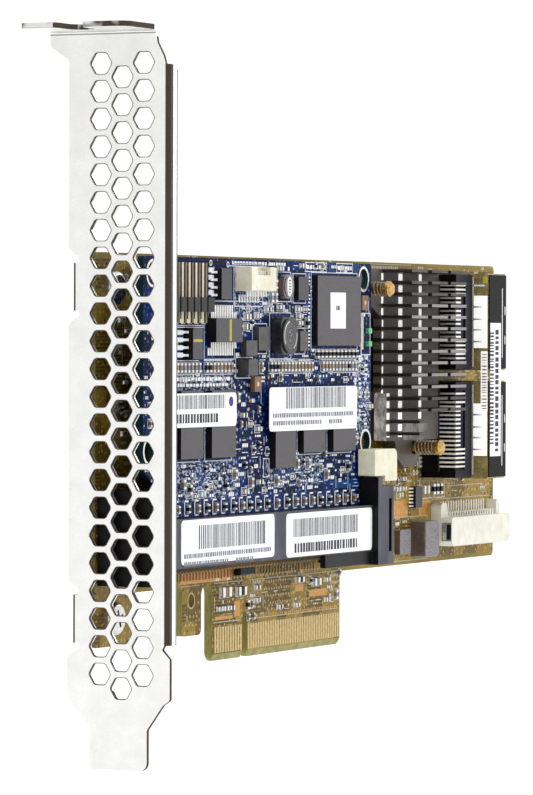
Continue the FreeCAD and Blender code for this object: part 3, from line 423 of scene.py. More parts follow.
# the print and small-part materials that the drawn pieces use
ink = Mat("silk_ink", rough=0.55, spec=0.3)
ink.color(ink.mix(ink.range(ink.noise(2.2, 3.0), 0.3, 0.7, 0.0, 1.0), (214, 216, 218), (238, 239, 240)))
ink_soft = Mat("silk_ink_soft", rough=0.6, spec=0.3)
ink_soft.color(ink_soft.mix(ink_soft.range(ink_soft.noise(2.2, 3.0), 0.3, 0.7, 0.0, 1.0), (168, 164, 150), (204, 200, 186)))
copper = Mat("bare_copper", rough=0.35, metal=0.6)
copper.color(copper.mix(copper.range(copper.noise(1.2, 3.0), 0.3, 0.7, 0.0, 1.0), (176, 122, 46), (206, 152, 70)))
pad_gold = Mat("pad_gold", rough=0.3, metal=0.8)
pad_gold.color(pad_gold.mix(pad_gold.range(pad_gold.noise(2.0, 3.0), 0.3, 0.7, 0.0, 1.0), (206, 172, 96), (226, 198, 130)))
tin = metal(Mat("tin_end", metal=1.0), (214, 214, 210), (238, 238, 236), 0.25, 0.42, 3.0)
cap_brown = plastic(Mat("cap_brown"), (116, 92, 70), (146, 120, 94), 1.5, 0.4, 0.55)
cap_grey = plastic(Mat("cap_grey"), (112, 112, 116), (142, 142, 146), 1.5, 0.4, 0.55)
res_black = plastic(Mat("resistor_black", spec=0.15), (16, 16, 18), (28, 28, 31), 1.5, 0.4, 0.55)
part_black = plastic(Mat("part_black", spec=0.15), (16, 16, 18), (28, 28, 31), 1.5, 0.36, 0.5)
blue_ink = Mat("pour_blue", rough=0.35, spec=0.05)
blue_ink.color(blue_ink.mix(blue_ink.range(blue_ink.noise(0.9, 4.0), 0.35, 0.65, 0.0, 1.0), (6, 46, 92), (12, 66, 122)))
via_blue = Mat("via_blue", rough=0.4, spec=0.4)
via_blue.color(via_blue.mix(via_blue.range(via_blue.noise(2.5, 3.0), 0.35, 0.65, 0.0, 1.0), (120, 140, 176), (160, 176, 200)))
via_olive = Mat("via_olive", rough=0.4, spec=0.4)
via_olive.color(via_olive.mix(via_olive.range(via_olive.noise(2.5, 3.0), 0.35, 0.65, 0.0, 1.0), (168, 138, 72), (206, 178, 116)))
dark_hole = Mat("via_dark", rough=0.7, spec=0.2)
dark_hole.color(dark_hole.mix(dark_hole.range(dark_hole.noise(2.5, 3.0), 0.35, 0.65, 0.0, 1.0), (18, 15, 10), (34, 28, 18)))
print_ink = Mat("label_ink", rough=0.55, spec=0.2)
print_ink.color(print_ink.mix(print_ink.range(print_ink.noise(4.0, 3.0), 0.3, 0.7, 0.0, 1.0), (38, 39, 44), (66, 67, 74)))
purple = Mat("label_dot", rough=0.5, spec=0.2)
purple.color(purple.mix(purple.range(purple.noise(3.0, 3.0), 0.3, 0.7, 0.0, 1.0), (52, 40, 120), (74, 60, 142)))
yellow_ink = Mat("mark_yellow", rough=0.5, spec=0.3)
yellow_ink.color(yellow_ink.mix(yellow_ink.range(yellow_ink.noise(3.0, 3.0), 0.3, 0.7, 0.0, 1.0), (152, 146, 48), (182, 174, 72)))
print_soft = Mat("label_ink_soft", rough=0.55, spec=0.2)
print_soft.color(print_soft.mix(print_soft.range(print_soft.noise(4.0, 3.0), 0.3, 0.7, 0.0, 1.0), (104, 106, 116), (140, 142, 152)))
# white plates with a glow: painted light that lifts the shaded receptacle walls to white
plate = Mat("plate_white", rough=0.34, metal=0.0)
plate.b.inputs["Emission Color"].default_value = lin(248, 248, 246)
plate.b.inputs["Emission Strength"].default_value = 0.45
plate.color(plate.mix(plate.range(plate.noise(0.8, 4.0), 0.35, 0.65, 0.0, 1.0), (232, 231, 226), (246, 246, 243)))
chip_mark = Mat("chip_mark", rough=0.6, spec=0.3)
chip_mark.color(chip_mark.mix(chip_mark.range(chip_mark.noise(3.0, 3.0), 0.3, 0.7, 0.0, 1.0), (66, 67, 72), (84, 85, 90)))


# ---------------------------------------------------------------- drawn pieces
class Batch:
    """Many small closed solids in one mesh, in card millimetres."""

    def __init__(self, name, take_slot, body="card"):
        self.name, self.take_slot, self.body = name, take_slot, body
        self.v, self.f, self.mi, self.mats = [], [], [], []

    def mat(self, m):
        m = m.m if isinstance(m, Mat) else m
        if m not in self.mats:
            self.mats.append(m)
        return self.mats.index(m)

    def add(self, vs, fs, m):
        n, k = len(self.v), self.mat(m)
        self.v += [T(*p) for p in vs]
        for f in fs:
            self.f.append([n + i for i in f])
            self.mi.append(k)

    def frustum(self, x0, x1, y0, y1, z0, z1, m, iy=0.0, iz=0.0):
        """A block on the plane x0 whose top, at x1, is smaller by iy and iz on each side."""
        a = [(x0, y0, z0), (x0, y1, z0), (x0, y1, z1), (x0, y0, z1)]
        b = [(x1, y0 + iy, z0 + iz), (x1, y1 - iy, z0 + iz), (x1, y1 - iy, z1 - iz), (x1, y0 + iy, z1 - iz)]
        self.add(a + b, [(3, 2, 1, 0), (4, 5, 6, 7), (0, 1, 5, 4), (1, 2, 6, 5), (2, 3, 7, 6), (3, 0, 4, 7)], m)

    def block(self, x0, x1, y0, y1, z0, z1, m, c=0.06):
        """A block with its top edges chamfered by c."""
        c = min(c, (y1 - y0) * 0.3, (z1 - z0) * 0.3, (x1 - x0) * 0.5)
        xm = x1 - c
        a = [(x0, y0, z0), (x0, y1, z0), (x0, y1, z1), (x0, y0, z1)]
        b = [(xm, y0, z0), (xm, y1, z0), (xm, y1, z1), (xm, y0, z1)]
        t = [(x1, y0 + c, z0 + c), (x1, y1 - c, z0 + c), (x1, y1 - c, z1 - c), (x1, y0 + c, z1 - c)]
        fs = [(3, 2, 1, 0), (8, 9, 10, 11)]
        for i in range(4):
            j = (i + 1) % 4
            fs += [(i, j, 4 + j, 4 + i), (4 + i, 4 + j, 8 + j, 8 + i)]
        self.add(a + b + t, fs, m)

    def disc(self, y, z, r, x0, x1, m, n=10, top=None):
        rt = r if top is None else top
        a = [(x0, y + r * math.cos(2 * math.pi * k / n), z + r * math.sin(2 * math.pi * k / n)) for k in range(n)]
        b = [(x1, y + rt * math.cos(2 * math.pi * k / n), z + rt * math.sin(2 * math.pi * k / n)) for k in range(n)]
        fs = [tuple(range(n - 1, -1, -1)), tuple(range(n, 2 * n))]
        fs += [(k, (k + 1) % n, n + (k + 1) % n, n + k) for k in range(n)]
        if x1 < x0:
            fs = [tuple(reversed(f)) for f in fs]
        self.add(a + b, fs, m)

    def ring(self, y, z, r0, r1, x0, x1, m, n=20, a0=0.0, a1=360.0):
        full = abs(a1 - a0) > 359.9
        k_n = n if full else n + 1
        vs = []
        for k in range(k_n):
            t = math.radians(a0 + (a1 - a0) * k / n)
            cy, cz = math.cos(t), math.sin(t)
            vs += [(x0, y + r0 * cy, z + r0 * cz), (x0, y + r1 * cy, z + r1 * cz),
                   (x1, y + r1 * cy, z + r1 * cz), (x1, y + r0 * cy, z + r0 * cz)]
        fs = []
        for k in range(n):
            i, j = 4 * k, 4 * ((k + 1) % k_n)
            for e in range(4):
                g = (e + 1) % 4
                fs.append((i + g, i + e, j + e, j + g))
        if not full:
            fs += [(3, 2, 1, 0)[::-1], (4 * n, 4 * n + 1, 4 * n + 2, 4 * n + 3)[::-1]]
        if x1 < x0:
            fs = [tuple(reversed(f)) for f in fs]
        self.add(vs, fs, m)

    def stroke(self, x0, x1, y0, z0, y1, z1, w, m):
        """A straight printed line from (y0, z0) to (y1, z1)."""
        L = math.hypot(y1 - y0, z1 - z0) or 1e-6
        ny, nz = -(z1 - z0) / L * w / 2, (y1 - y0) / L * w / 2
        q = [(y0 - ny, z0 - nz), (y1 - ny, z1 - nz), (y1 + ny, z1 + nz), (y0 + ny, z0 + nz)]
        vs = [(x0, a, b) for a, b in q] + [(x1, a, b) for a, b in q]
        fs = [(3, 2, 1, 0), (4, 5, 6, 7), (0, 1, 5, 4), (1, 2, 6, 5), (2, 3, 7, 6), (3, 0, 4, 7)]
        if x1 < x0:
            fs = [tuple(reversed(f)) for f in fs]
        self.add(vs, fs, m)

    def frame(self, x0, x1, y0, y1, z0, z1, w, m):
        """A printed rectangle outline, one closed ring."""
        o = [(y0, z0), (y1, z0), (y1, z1), (y0, z1)]
        i = [(y0 + w, z0 + w), (y1 - w, z0 + w), (y1 - w, z1 - w), (y0 + w, z1 - w)]
        vs = [(x0, a, b) for a, b in o] + [(x0, a, b) for a, b in i]
        vs += [(x1, a, b) for a, b in o] + [(x1, a, b) for a, b in i]
        fs = []
        for k in range(4):
            j = (k + 1) % 4
            fs += [(8 + k, 8 + j, 12 + j, 12 + k), (j, k, 4 + k, 4 + j),
                   (k, j, 8 + j, 8 + k), (4 + j, 4 + k, 12 + k, 12 + j)]
        if x1 < x0:
            fs = [tuple(reversed(f)) for f in fs]
        self.add(vs, fs, m)

    def done(self, smooth=False):
        me = bpy.data.meshes.new(self.name)
        me.from_pydata(self.v, [], self.f)
        for k in self.mats:
            me.materials.append(k)
        me.polygons.foreach_set("material_index", self.mi)
        me.update()
        o = bpy.data.objects.new(self.name, me)
        bpy.context.scene.collection.objects.link(o)
        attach(o, self.body)
        return o


class Grid:
    """Which parts of a board face are taken, on a quarter-millimetre grid."""

    def __init__(self, y0, y1, z0, z1, s=0.25):
        self.y0, self.z0, self.s = y0, z0, s
        self.ny, self.nz = int((y1 - y0) / s) + 1, int((z1 - z0) / s) + 1
        self.g = [bytearray(self.nz) for _ in range(self.ny)]

    def span(self, a0, a1, o, n):
        return range(max(0, int(math.floor((a0 - o) / self.s))), min(n, int(math.ceil((a1 - o) / self.s))))

    def take(self, y0, y1, z0, z1):
        for i in self.span(y0, y1, self.y0, self.ny):
            for k in self.span(z0, z1, self.z0, self.nz):
                self.g[i][k] = 1

    def free(self, y0, y1, z0, z1):
        if y0 < self.y0 or z0 < self.z0 or y1 > self.y0 + self.ny * self.s or z1 > self.z0 + self.nz * self.s:
            return False
        for i in self.span(y0, y1, self.y0, self.ny):
            for k in self.span(z0, z1, self.z0, self.nz):
                if self.g[i][k]:
                    return False
        return True

    def claim(self, y0, y1, z0, z1, gap=0.05):
        if self.free(y0 - gap, y1 + gap, z0 - gap, z1 + gap):
            self.take(y0 - gap, y1 + gap, z0 - gap, z1 + gap)
            return True
        return False


def chip_part(b, X, yc, zc, ly, lz, h, body, ends=tin, e=0.28):
    """A two-ended ceramic part: a body between two plated ends with a little solder at the foot."""
    if ly >= lz:
        L, w = ly, lz
        k = e * L
        b.block(X - 0.01, X + h * 0.94, yc - L / 2 + k * 0.8, yc + L / 2 - k * 0.8, zc - w / 2 + 0.02, zc + w / 2 - 0.02, body, 0.04)
        for s in (-1, 1):
            a0, a1 = sorted((yc + s * L / 2, yc + s * (L / 2 - k)))
            b.block(X - 0.01, X + h, a0, a1, zc - w / 2, zc + w / 2, ends, 0.05)
            o0, o1 = sorted((yc + s * (L / 2 - 0.02), yc + s * (L / 2 + 0.2)))
            b.frustum(X - 0.01, X + h * 0.55, o0, o1, zc - w / 2 - 0.04, zc + w / 2 + 0.04, ends,
                      0.09, 0.05)
    else:
        L, w = lz, ly
        k = e * L
        b.block(X - 0.01, X + h * 0.94, yc - w / 2 + 0.02, yc + w / 2 - 0.02, zc - L / 2 + k * 0.8, zc + L / 2 - k * 0.8, body, 0.04)
        for s in (-1, 1):
            a0, a1 = sorted((zc + s * L / 2, zc + s * (L / 2 - k)))
            b.block(X - 0.01, X + h, yc - w / 2, yc + w / 2, a0, a1, ends, 0.05)
            o0, o1 = sorted((zc + s * (L / 2 - 0.02), zc + s * (L / 2 + 0.2)))
            b.frustum(X - 0.01, X + h * 0.55, yc - w / 2 - 0.04, yc + w / 2 + 0.04, o0, o1, ends,
                      0.05, 0.09)


def dash_row(b, X, y0, y1, z, h, rnd, m, lo=0.35, hi=0.9, gap=0.28, up=False, x1=None):
    """A row of plain dashes of uneven length. It spells nothing."""
    x1 = X + 0.02 if x1 is None else x1
    a = y0
    while a < y1 - lo:
        w = min(rnd.uniform(lo, hi), y1 - a)
        if up:
            b.frustum(X - 0.01, x1, z, z + h, a, a + w, m)
        else:
            b.frustum(X - 0.01, x1, a, a + w, z, z + h, m)
        a += w + gap * rnd.uniform(0.6, 1.5)


MX = 7.4
SX0, SX1 = MX - 0.01, MX + 0.02
rnd = random.Random(7600)

# ---- cache module: silkscreen, copper and small parts
ms = Batch("module_silkscreen", "module_mask")
mc = Batch("module_copper_marks", "module_mask")
mp = Batch("module_small_parts", "ceramic_brown")
G = Grid(3.8, 93.5, 25.5, 68.3)
for y0, y1, z0, z1 in (
        (15.2, 24.0, 34.8, 47.4), (26.6, 36.3, 34.8, 47.4), (51.4, 60.0, 32.5, 47.0), (62.6, 72.2, 35.0, 47.0),
        (74.9, 84.9, 35.0, 47.0), (11.3, 36.2, 40.0, 46.3), (48.6, 85.1, 38.8, 46.9), (68.2, 87.3, 53.2, 66.4),
        (26.3, 37.2, 51.6, 61.0), (37.5, 48.2, 60.6, 67.4), (54.6, 59.4, 61.5, 66.2), (60.9, 65.6, 61.3, 65.9),
        (51.5, 58.7, 51.9, 58.9), (44.8, 49.9, 52.6, 57.2), (39.7, 44.5, 51.7, 54.9), (38.5, 42.7, 48.4, 51.7),
        (61.5, 65.3, 52.5, 56.5), (43.6, 46.8, 45.6, 48.8), (87.7, 90.9, 59.7, 62.9), (87.9, 92.5, 63.2, 67.8),
        (88.9, 93.4, 34.3, 38.9), (4.2, 26.0, 57.3, 68.3), (4.8, 9.4, 63.2, 67.8), (3.8, 8.4, 34.3, 38.9),
        (26.5, 37.5, 61.6, 67.3), (14.8, 26.0, 51.4, 56.8), (90.3, 92.4, 52.4, 57.8),
        (86.9, 93.6, 30.4, 35.5), (90.8, 93.6, 25.5, 30.8)):
    G.take(y0, y1, z0, z1)


def dash(y0, y1, z0, z1, b=None, m=None):
    (b or ms).frustum(SX0, SX1, y0, y1, z0, z1, m or ink)


# rings round the mounting holes
for y, z in ((90.2, 65.5), (91.2, 36.6), (7.1, 65.5), (6.1, 36.6)):
    mc.ring(y, z, 1.86, 2.3, SX0, SX1 + 0.01, tin, 28)
# top strip
ms.ring(28.5, 67.5, 0.32, 0.5, SX0, SX1, ink, 14)
ms.ring(35.0, 67.3, 0.32, 0.5, SX0, SX1, ink, 14)
dash_row(ms, MX, 36.6, 50.0, 67.35, 0.55, rnd, ink, 0.5, 1.2)
dash_row(ms, MX, 51.0, 58.2, 67.35, 0.55, rnd, ink, 0.5, 1.2)
ms.stroke(SX0, SX1, 35.0, 67.1, 50.0, 67.1, 0.12, ink)
for y0, y1 in ((65.5, 74.5), (78.5, 85.5)):
    ms.frame(SX0, SX1, y0, y1, 66.5, 68.2, 0.14, ink)
    dash_row(ms, MX, y0 + 0.6, y1 - 0.5, 67.0, 0.7, rnd, ink, 0.4, 1.1)
for y0, y1 in ((75.1, 77.9), (85.9, 87.8)):
    mc.frustum(SX0, SX1 - 0.005, y0, y1, 66.3, 68.15, blue_ink)
# marks under and beside the pin header
for k in range(6):
    y = 15.6 + k * 2.54
    mc.frustum(SX0, SX1, y - 0.55, y + 0.55, 57.6, 58.6, pad_gold)
    ms.frame(SX0, SX1, y - 0.75, y + 0.75, 57.3, 59.2, 0.12, ink)
ms.stroke(SX0, SX1, 10, 57.05, 26.2, 57.05, 0.13, ink)
ms.stroke(SX0, SX1, 10, 56.75, 26.2, 56.75, 0.13, ink)
# outlines round the chips
for y0, y1, z0, z1 in ((68.0, 87.5, 53.0, 66.5), (51.2, 59.9, 51.4, 59.4), (26.0, 37.6, 51.4, 61.2),
                       (44.5, 50.2, 52.3, 57.5), (60.6, 65.9, 61.0, 66.2), (54.3, 59.7, 61.2, 66.4),
                       (61.2, 65.6, 52.2, 56.8), (37.2, 48.5, 60.3, 67.6), (14.8, 24.3, 34.5, 40.1),
                       (26.3, 36.6, 34.5, 40.1), (62.4, 72.4, 34.8, 39.0), (74.7, 85.1, 34.8, 39.0)):
    ms.frame(SX0, SX1, y0, y1, z0, z1, 0.13, ink)
ms.stroke(SX0, SX1, 14.0, 61.2, 49.0, 61.2, 0.12, ink)
# status lamp box
ms.frame(SX0, SX1, 89.2, 93.1, 52.0, 59.5, 0.14, ink)
dash(89.4, 90.2, 53.0, 59.0, m=ink_soft)
# white tick columns down the right edge, round the flash and between the memories
for z in [37.2 + 0.8 * k for k in range(19)]:
    if z < 51.8 and not 37.0 < z < 39.0:
        for y in (86.4, 88.2, 90.6):
            if rnd.random() < 0.8:
                dash(y, y + rnd.uniform(0.7, 1.4), z, z + 0.35)
for z in [53.6 + 0.62 * k for k in range(20)]:
    dash(66.9, 67.7, z, z + 0.3)
for y in (25.3, 61.2, 73.4):
    for z in [35.2 + 0.68 * k for k in range(6)]:
        dash(y - 0.25, y + 0.25, z, z + 0.32)
dash_row(ms, MX, 15.2, 36.0, 46.95, 0.5, rnd, ink, 0.5, 1.2, 0.35)
dash_row(ms, MX, 12.0, 36.0, 47.9, 0.6, rnd, ink, 0.5, 1.2, 0.35)
dash_row(ms, MX, 51.5, 68.0, 51.0, 0.42, rnd, ink, 0.4, 1.0)
dash_row(ms, MX, 68.4, 87.0, 53.0 - 0.35, 0.3, rnd, ink, 0.5, 1.4)
mc.frustum(SX0, SX1, 68.8, 75.0, 47.85, 49.0, blue_ink)
for y in (69.4, 70.7, 72.0, 73.2, 74.5):
    ms.disc(y, 48.4, 0.24, SX1 - 0.01, SX1 + 0.015, ink, 10)
for y, z in ((37.8, 46.7), (40.2, 46.7), (34.5, 61.7)):
    ms.disc(y, z, 0.26, SX0, SX1, ink, 10)
for y, z in ((43.6, 44.4), (43.2, 43.0), (43.3, 41.2), (43.0, 40.2), (43.3, 47.0), (51.0, 48.3), (54.0, 47.6),
             (60.5, 47.6), (85.0, 48.0), (72.0, 32.6)):
    mc.disc(y, z, 0.3, SX0, SX1, copper, 10)
ms.frame(SX0, SX1, 38.0, 44.7, 48.2, 51.8, 0.13, ink)

# a row of decoupling parts, white ends up and down
def upright(y, z0, z1, w=0.62, body=None, h=0.5, out=True):
    if not G.claim(y - w / 2, y + w / 2, z0, z1, 0.02):
        return
    chip_part(mp, MX, y, (z0 + z1) / 2, w, z1 - z0, h, body or rnd.choice((cap_brown, cap_brown, cap_grey, res_black)), tin, 0.26)
    if out:
        for s in (-1, 1):
            ms.stroke(SX0, SX1, y + s * (w / 2 + 0.17), z0 - 0.1, y + s * (w / 2 + 0.17), z1 + 0.1, 0.1, ink)


for a, b in ((11.0, 24.0), (26.0, 36.8), (47.3, 49.0), (51.0, 69.0), (72.0, 87.0)):
    y = a + 0.5
    while y < b:
        upright(y, 49.3, 50.9)
        y += 1.37
    ms.stroke(SX0, SX1, a, 48.95, b, 48.95, 0.1, ink)
    ms.stroke(SX0, SX1, a, 51.25, b, 51.25, 0.1, ink)
for y in [70.4 + 1.62 * k for k in range(11)]:
    upright(y, 51.6, 52.9, 0.9, res_black)
# bracketed capacitors above the socket
for a, b in ((11.2, 14.2), (14.4, 17.6), (18, 21.5), (22, 25), (25.5, 28.5), (29, 31.5), (32, 35), (35.7, 38.8), (39, 41.8), (42.0, 44.8),
             (45.5, 48), (48.5, 52), (52.4, 56.0), (56.5, 60), (60.5, 63), (63.7, 66.5), (67, 70), (70.8, 73), (74, 77),
             (77.6, 80.4), (81.0, 84.0), (84.6, 87.4)):
    y = (a + b) / 2
    if G.claim(y - 0.95, y + 0.95, 25.7, 28.0, 0.02):
        chip_part(mp, MX, y + 0.1, 26.8, 0.7, 1.25, 0.6, rnd.choice((cap_brown, res_black, res_black)), tin, 0.26)
        ms.stroke(SX0, SX1, y - 0.8, 25.7, y - 0.8, 28.15, 0.26, ink)
        for z in (25.75, 28.1):
            ms.stroke(SX0, SX1, y - 0.9, z, y + 0.62, z, 0.26, ink)
# small outlined parts beside the coils and between the labels
for y, z, w, t in ((55.2, 66.9, 1.6, 0.75), (51.6, 64.2, 0.8, 1.6), (51.6, 61.9, 0.8, 1.6), (53.2, 64.2, 0.8, 1.6),
                   (53.2, 61.9, 0.8, 1.6), (63.0, 57.6, 1.6, 0.8), (63.0, 58.8, 1.6, 0.8), (66.2, 57.6, 0.8, 1.6), (62.6, 60.0, 1.6, 0.8),
                   (50.2, 59.9, 1.6, 0.8), (42.2, 58.6, 1.8, 1.0), (42.2, 56.9, 1.8, 1.0), (46.2, 58.8, 1.6, 0.8), (30.6, 62.0, 1.6, 0.8)):
    if G.claim(y - w / 2, y + w / 2, z - t / 2, z + t / 2, 0.05):
        chip_part(mp, MX, y, z, w, t, 0.55, rnd.choice((cap_brown, cap_grey, res_black)))
        ms.frame(SX0, SX1, y - w / 2 - 0.3, y + w / 2 + 0.3, z - t / 2 - 0.2, z + t / 2 + 0.2, 0.1, ink)
ms.frame(SX0, SX1, 49.0, 51.3, 31.3, 34.5, 0.12, ink)
mc.frustum(SX0, SX1 - 0.005, 53.0, 62.0, 31.0, 32.3, blue_ink)
mc.frustum(SX0, SX1 - 0.005, 77.0, 88.0, 28.6, 30.0, blue_ink)
# pads of the two eight-lead chips
for y0, zs in ((28.0, (66.3, 65.1, 63.85, 62.6)), (16.2, (55.9, 54.7, 53.4, 52.2))):
    for z in zs:
        mc.frustum(SX0, MX + 0.16, y0 - 0.35, y0 + 1.9, z - 0.42, z + 0.42, ink, 0.12, 0.12)
dash(14.8, 16.4, 53.9, 54.4, m=yellow_ink)


def fill(G, X, b_silk, b_cu, b_part, y0, y1, z0, z1, n, rnd, inks, via_m, bodies, weights=(5, 4, 3, 4), ph=0.45):
    """Small parts, dashes and vias in the free places of a board, from a fixed seed."""
    kinds = "P" * weights[0] + "D" * weights[1] + "V" * weights[2] + "T" * weights[3]
    for _ in range(n):
        y, z = rnd.uniform(y0, y1), rnd.uniform(z0, z1)
        y, z = round(y / 0.3) * 0.3, round(z / 0.3) * 0.3
        k = rnd.choice(kinds)
        if k == "P":
            L, w = rnd.choice(((1.0, 0.55), (1.0, 0.55), (1.6, 0.8)))
            ly, lz = (L, w) if rnd.random() < 0.4 else (w, L)
            if G.claim(y - ly / 2 - 0.22, y + ly / 2 + 0.22, z - lz / 2 - 0.22, z + lz / 2 + 0.22, 0.0):
                chip_part(b_part, X, y, z, ly, lz, ph if L < 1.2 else ph * 1.4, rnd.choice(bodies))
                m = rnd.choice(inks)
                if rnd.random() < 0.6:
                    b_silk.frame(X - 0.01, X + 0.02, y - ly / 2 - 0.32, y + ly / 2 + 0.32, z - lz / 2 - 0.3, z + lz / 2 + 0.3, 0.1, m)
        elif k == "D":
            L, h = rnd.uniform(0.6, 2.6), rnd.choice((0.35, 0.5, 0.65))
            if G.claim(y - L / 2, y + L / 2, z - h / 2, z + h / 2, 0.1):
                dash_row(b_silk, X, y - L / 2, y + L / 2, z - h / 2, h, rnd, rnd.choice(inks), 0.3, 0.7, 0.2)
        elif k == "V":
            r = rnd.choice((0.2, 0.24, 0.3))
            if G.claim(y - r, y + r, z - r, z + r, 0.08):
                b_cu.disc(y, z, r, X - 0.01, X + 0.012, via_m, 8)
        else:
            L = rnd.uniform(0.8, 3.0)
            if rnd.random() < 0.5:
                if G.claim(y - L / 2, y + L / 2, z - 0.08, z + 0.08, 0.05):
                    b_silk.stroke(X - 0.01, X + 0.02, y - L / 2, z, y + L / 2, z, 0.11, rnd.choice(inks))
            elif G.claim(y - 0.08, y + 0.08, z - L / 2, z + L / 2, 0.05):
                b_silk.stroke(X - 0.01, X + 0.02, y, z - L / 2, y, z + L / 2, 0.11, rnd.choice(inks))


fill(G, MX, ms, mc, mp, 9.0, 88.0, 28.4, 35.0, 1500, rnd, (ink,), via_blue, (cap_brown, cap_grey, res_black), (6, 5, 4, 3))
fill(G, MX, ms, mc, mp, 37.0, 50.5, 28.4, 47.5, 900, rnd, (ink,), via_blue, (cap_brown, cap_grey, res_black), (7, 3, 4, 4))
fill(G, MX, ms, mc, mp, 9.0, 93.0, 47.0, 67.5, 2600, rnd, (ink,), via_blue, (cap_brown, cap_grey, res_black), (5, 5, 4, 3))
fill(G, MX, ms, mc, mp, 85.0, 93.0, 26.0, 52.0, 500, rnd, (ink,), via_blue, (cap_brown, cap_grey, res_black), (3, 5, 4, 3))
fill(G, MX, ms, mc, mp, 4.2, 15.0, 26.0, 67.0, 400, rnd, (ink,), via_blue, (cap_brown, cap_grey, res_black), (4, 5, 4, 3))
ms.done()
mc.done()
mp.done()

# ---- label print: bars and plain dash rows on the paper labels
lp = Batch("label_print", "label_paper")


def bars(b, X, y0, y1, z0, z1, rnd, m, up=False, lo=0.14, hi=0.42):
    a = y0
    while a < y1:
        w = min(rnd.uniform(lo, hi), y1 - a)
        if w > 0.05:
            if up:
                b.frustum(X - 0.01, X + 0.015, z0, z1, a, a + w, m)
            else:
                b.frustum(X - 0.01, X + 0.015, a, a + w, z0, z1, m)
        a += w + rnd.uniform(lo, hi)


L1 = MX + 1.1 + 0.1
bars(lp, L1, 13.0, 31.6, 43.3, 45.6, rnd, print_ink)
dash_row(lp, L1, 12.6, 29.6, 41.0, 1.5, rnd, print_ink, 0.5, 0.95, 0.3, x1=L1 + 0.015)
lp.disc(33.9, 44.4, 0.85, L1 - 0.01, L1 + 0.015, purple, 18)
bars(lp, L1, 55.5, 80.2, 42.9, 46.5, rnd, print_ink)
dash_row(lp, L1, 50.2, 83.4, 41.4, 0.75, rnd, print_soft, 0.35, 0.8, 0.22, x1=L1 + 0.015)
dash_row(lp, L1, 50.2, 70.0, 40.1, 0.75, rnd, print_soft, 0.35, 0.8, 0.22, x1=L1 + 0.015)
dash_row(lp, L1, 73.0, 78.5, 40.1, 0.75, rnd, print_soft, 0.35, 0.8, 0.22, x1=L1 + 0.015)
L3 = 9.9 + 0.1
bars(lp, L3, 19.0, 44.6, 20.3, 24.2, rnd, print_ink)
dash_row(lp, L3, 13.6, 46.6, 18.9, 0.75, rnd, print_soft, 0.35, 0.8, 0.22, x1=L3 + 0.015)
dash_row(lp, L3, 13.6, 30.0, 17.6, 0.75, rnd, print_soft, 0.35, 0.8, 0.22, x1=L3 + 0.015)
dash_row(lp, L3, 33.0, 40.0, 17.6, 0.75, rnd, print_soft, 0.35, 0.8, 0.22, x1=L3 + 0.015)
bars(lp, L3, 55.6, 82.2, 20.9, 24.0, rnd, print_ink, lo=0.12, hi=0.34)
dash_row(lp, L3, 56.0, 82.0, 18.2, 1.6, rnd, print_ink, 0.5, 0.95, 0.32, x1=L3 + 0.015)
LF = MX + 1.0 + 0.1
dash_row(lp, LF, 76.2, 77.9, 59.9, 0.8, rnd, print_ink, 0.3, 0.6, 0.2, x1=LF + 0.015)
LC = 10.5 + 0.1
bars(lp, LC, 35.2, 56.4, 140.9, 142.6, rnd, print_ink, True, 0.16, 0.44)
dash_row(lp, LC, 33.8, 57.2, 143.3, 1.6, rnd, print_ink, 0.5, 0.95, 0.3, True, x1=LC + 0.015)
lp.done()

# ---- main board, component face
bs = Batch("board_silkscreen", "main_board_mask")
bc = Batch("board_copper_marks", "main_board_mask")
bp = Batch("board_small_parts", "ceramic_brown")
B = Grid(1.0, 167.0, 5.0, 69.0)
for y0, y1, z0, z1 in (
        (1.0, 8.0, 5.0, 69.0), (8.0, 98.2, 14.8, 26.2), (93.4, 102.4, 60.2, 68.9), (100.5, 130.6, 32.0, 68.5),
        (112.5, 123.5, 29.5, 36.5), (131.6, 150.0, 28.8, 67.2), (137.2, 167.0, 15.2, 24.4), (127.6, 135.4, 13.8, 21.5),
        (120.2, 126.4, 14.6, 20.0), (127.3, 131.7, 23.0, 28.0), (34.5, 38.4, 8.8, 12.6), (39.8, 45.0, 5.0, 15.0),
        (97.0, 168.0, 5.0, 13.6), (7.9, 33.0, 5.0, 13.6), (1.0, 34.0, 5.0, 10.0)):
    B.take(y0, y1, z0, z1)
bs.stroke(-0.01, 0.02, 44.8, 6.5, 55.4, 6.5, 0.12, ink_soft)
bs.stroke(-0.01, 0.02, 58.8, 6.5, 96.0, 6.5, 0.12, ink_soft)
bs.stroke(-0.01, 0.02, 45.3, 13.2, 96.5, 13.2, 0.12, ink_soft)
bs.stroke(-0.01, 0.02, 32.2, 13.2, 39.6, 13.2, 0.12, ink_soft)
bc.frustum(-0.01, 0.012, 32.3, 52.0, 13.55, 16.3, copper)
bp.block(-0.01, 1.3, 52.9, 58.6, 14.3, 16.2, part_black, 0.15)
bp.block(-0.01, 0.6, 58.7, 59.6, 14.2, 15.2, tin, 0.1)
bc.frustum(-0.01, 0.012, 79.7, 81.0, 13.55, 14.9, copper)
for y0, y1, z0, z1 in ((45.4, 52.4, 6.9, 7.5), (53.0, 55.4, 7.2, 9.8), (77.5, 81.0, 10.3, 11.5), (83.5, 91.0, 9.1, 10.3)):
    bc.frustum(-0.01, 0.01, y0, y1, z0, z1, copper)
    B.take(y0, y1, z0, z1)
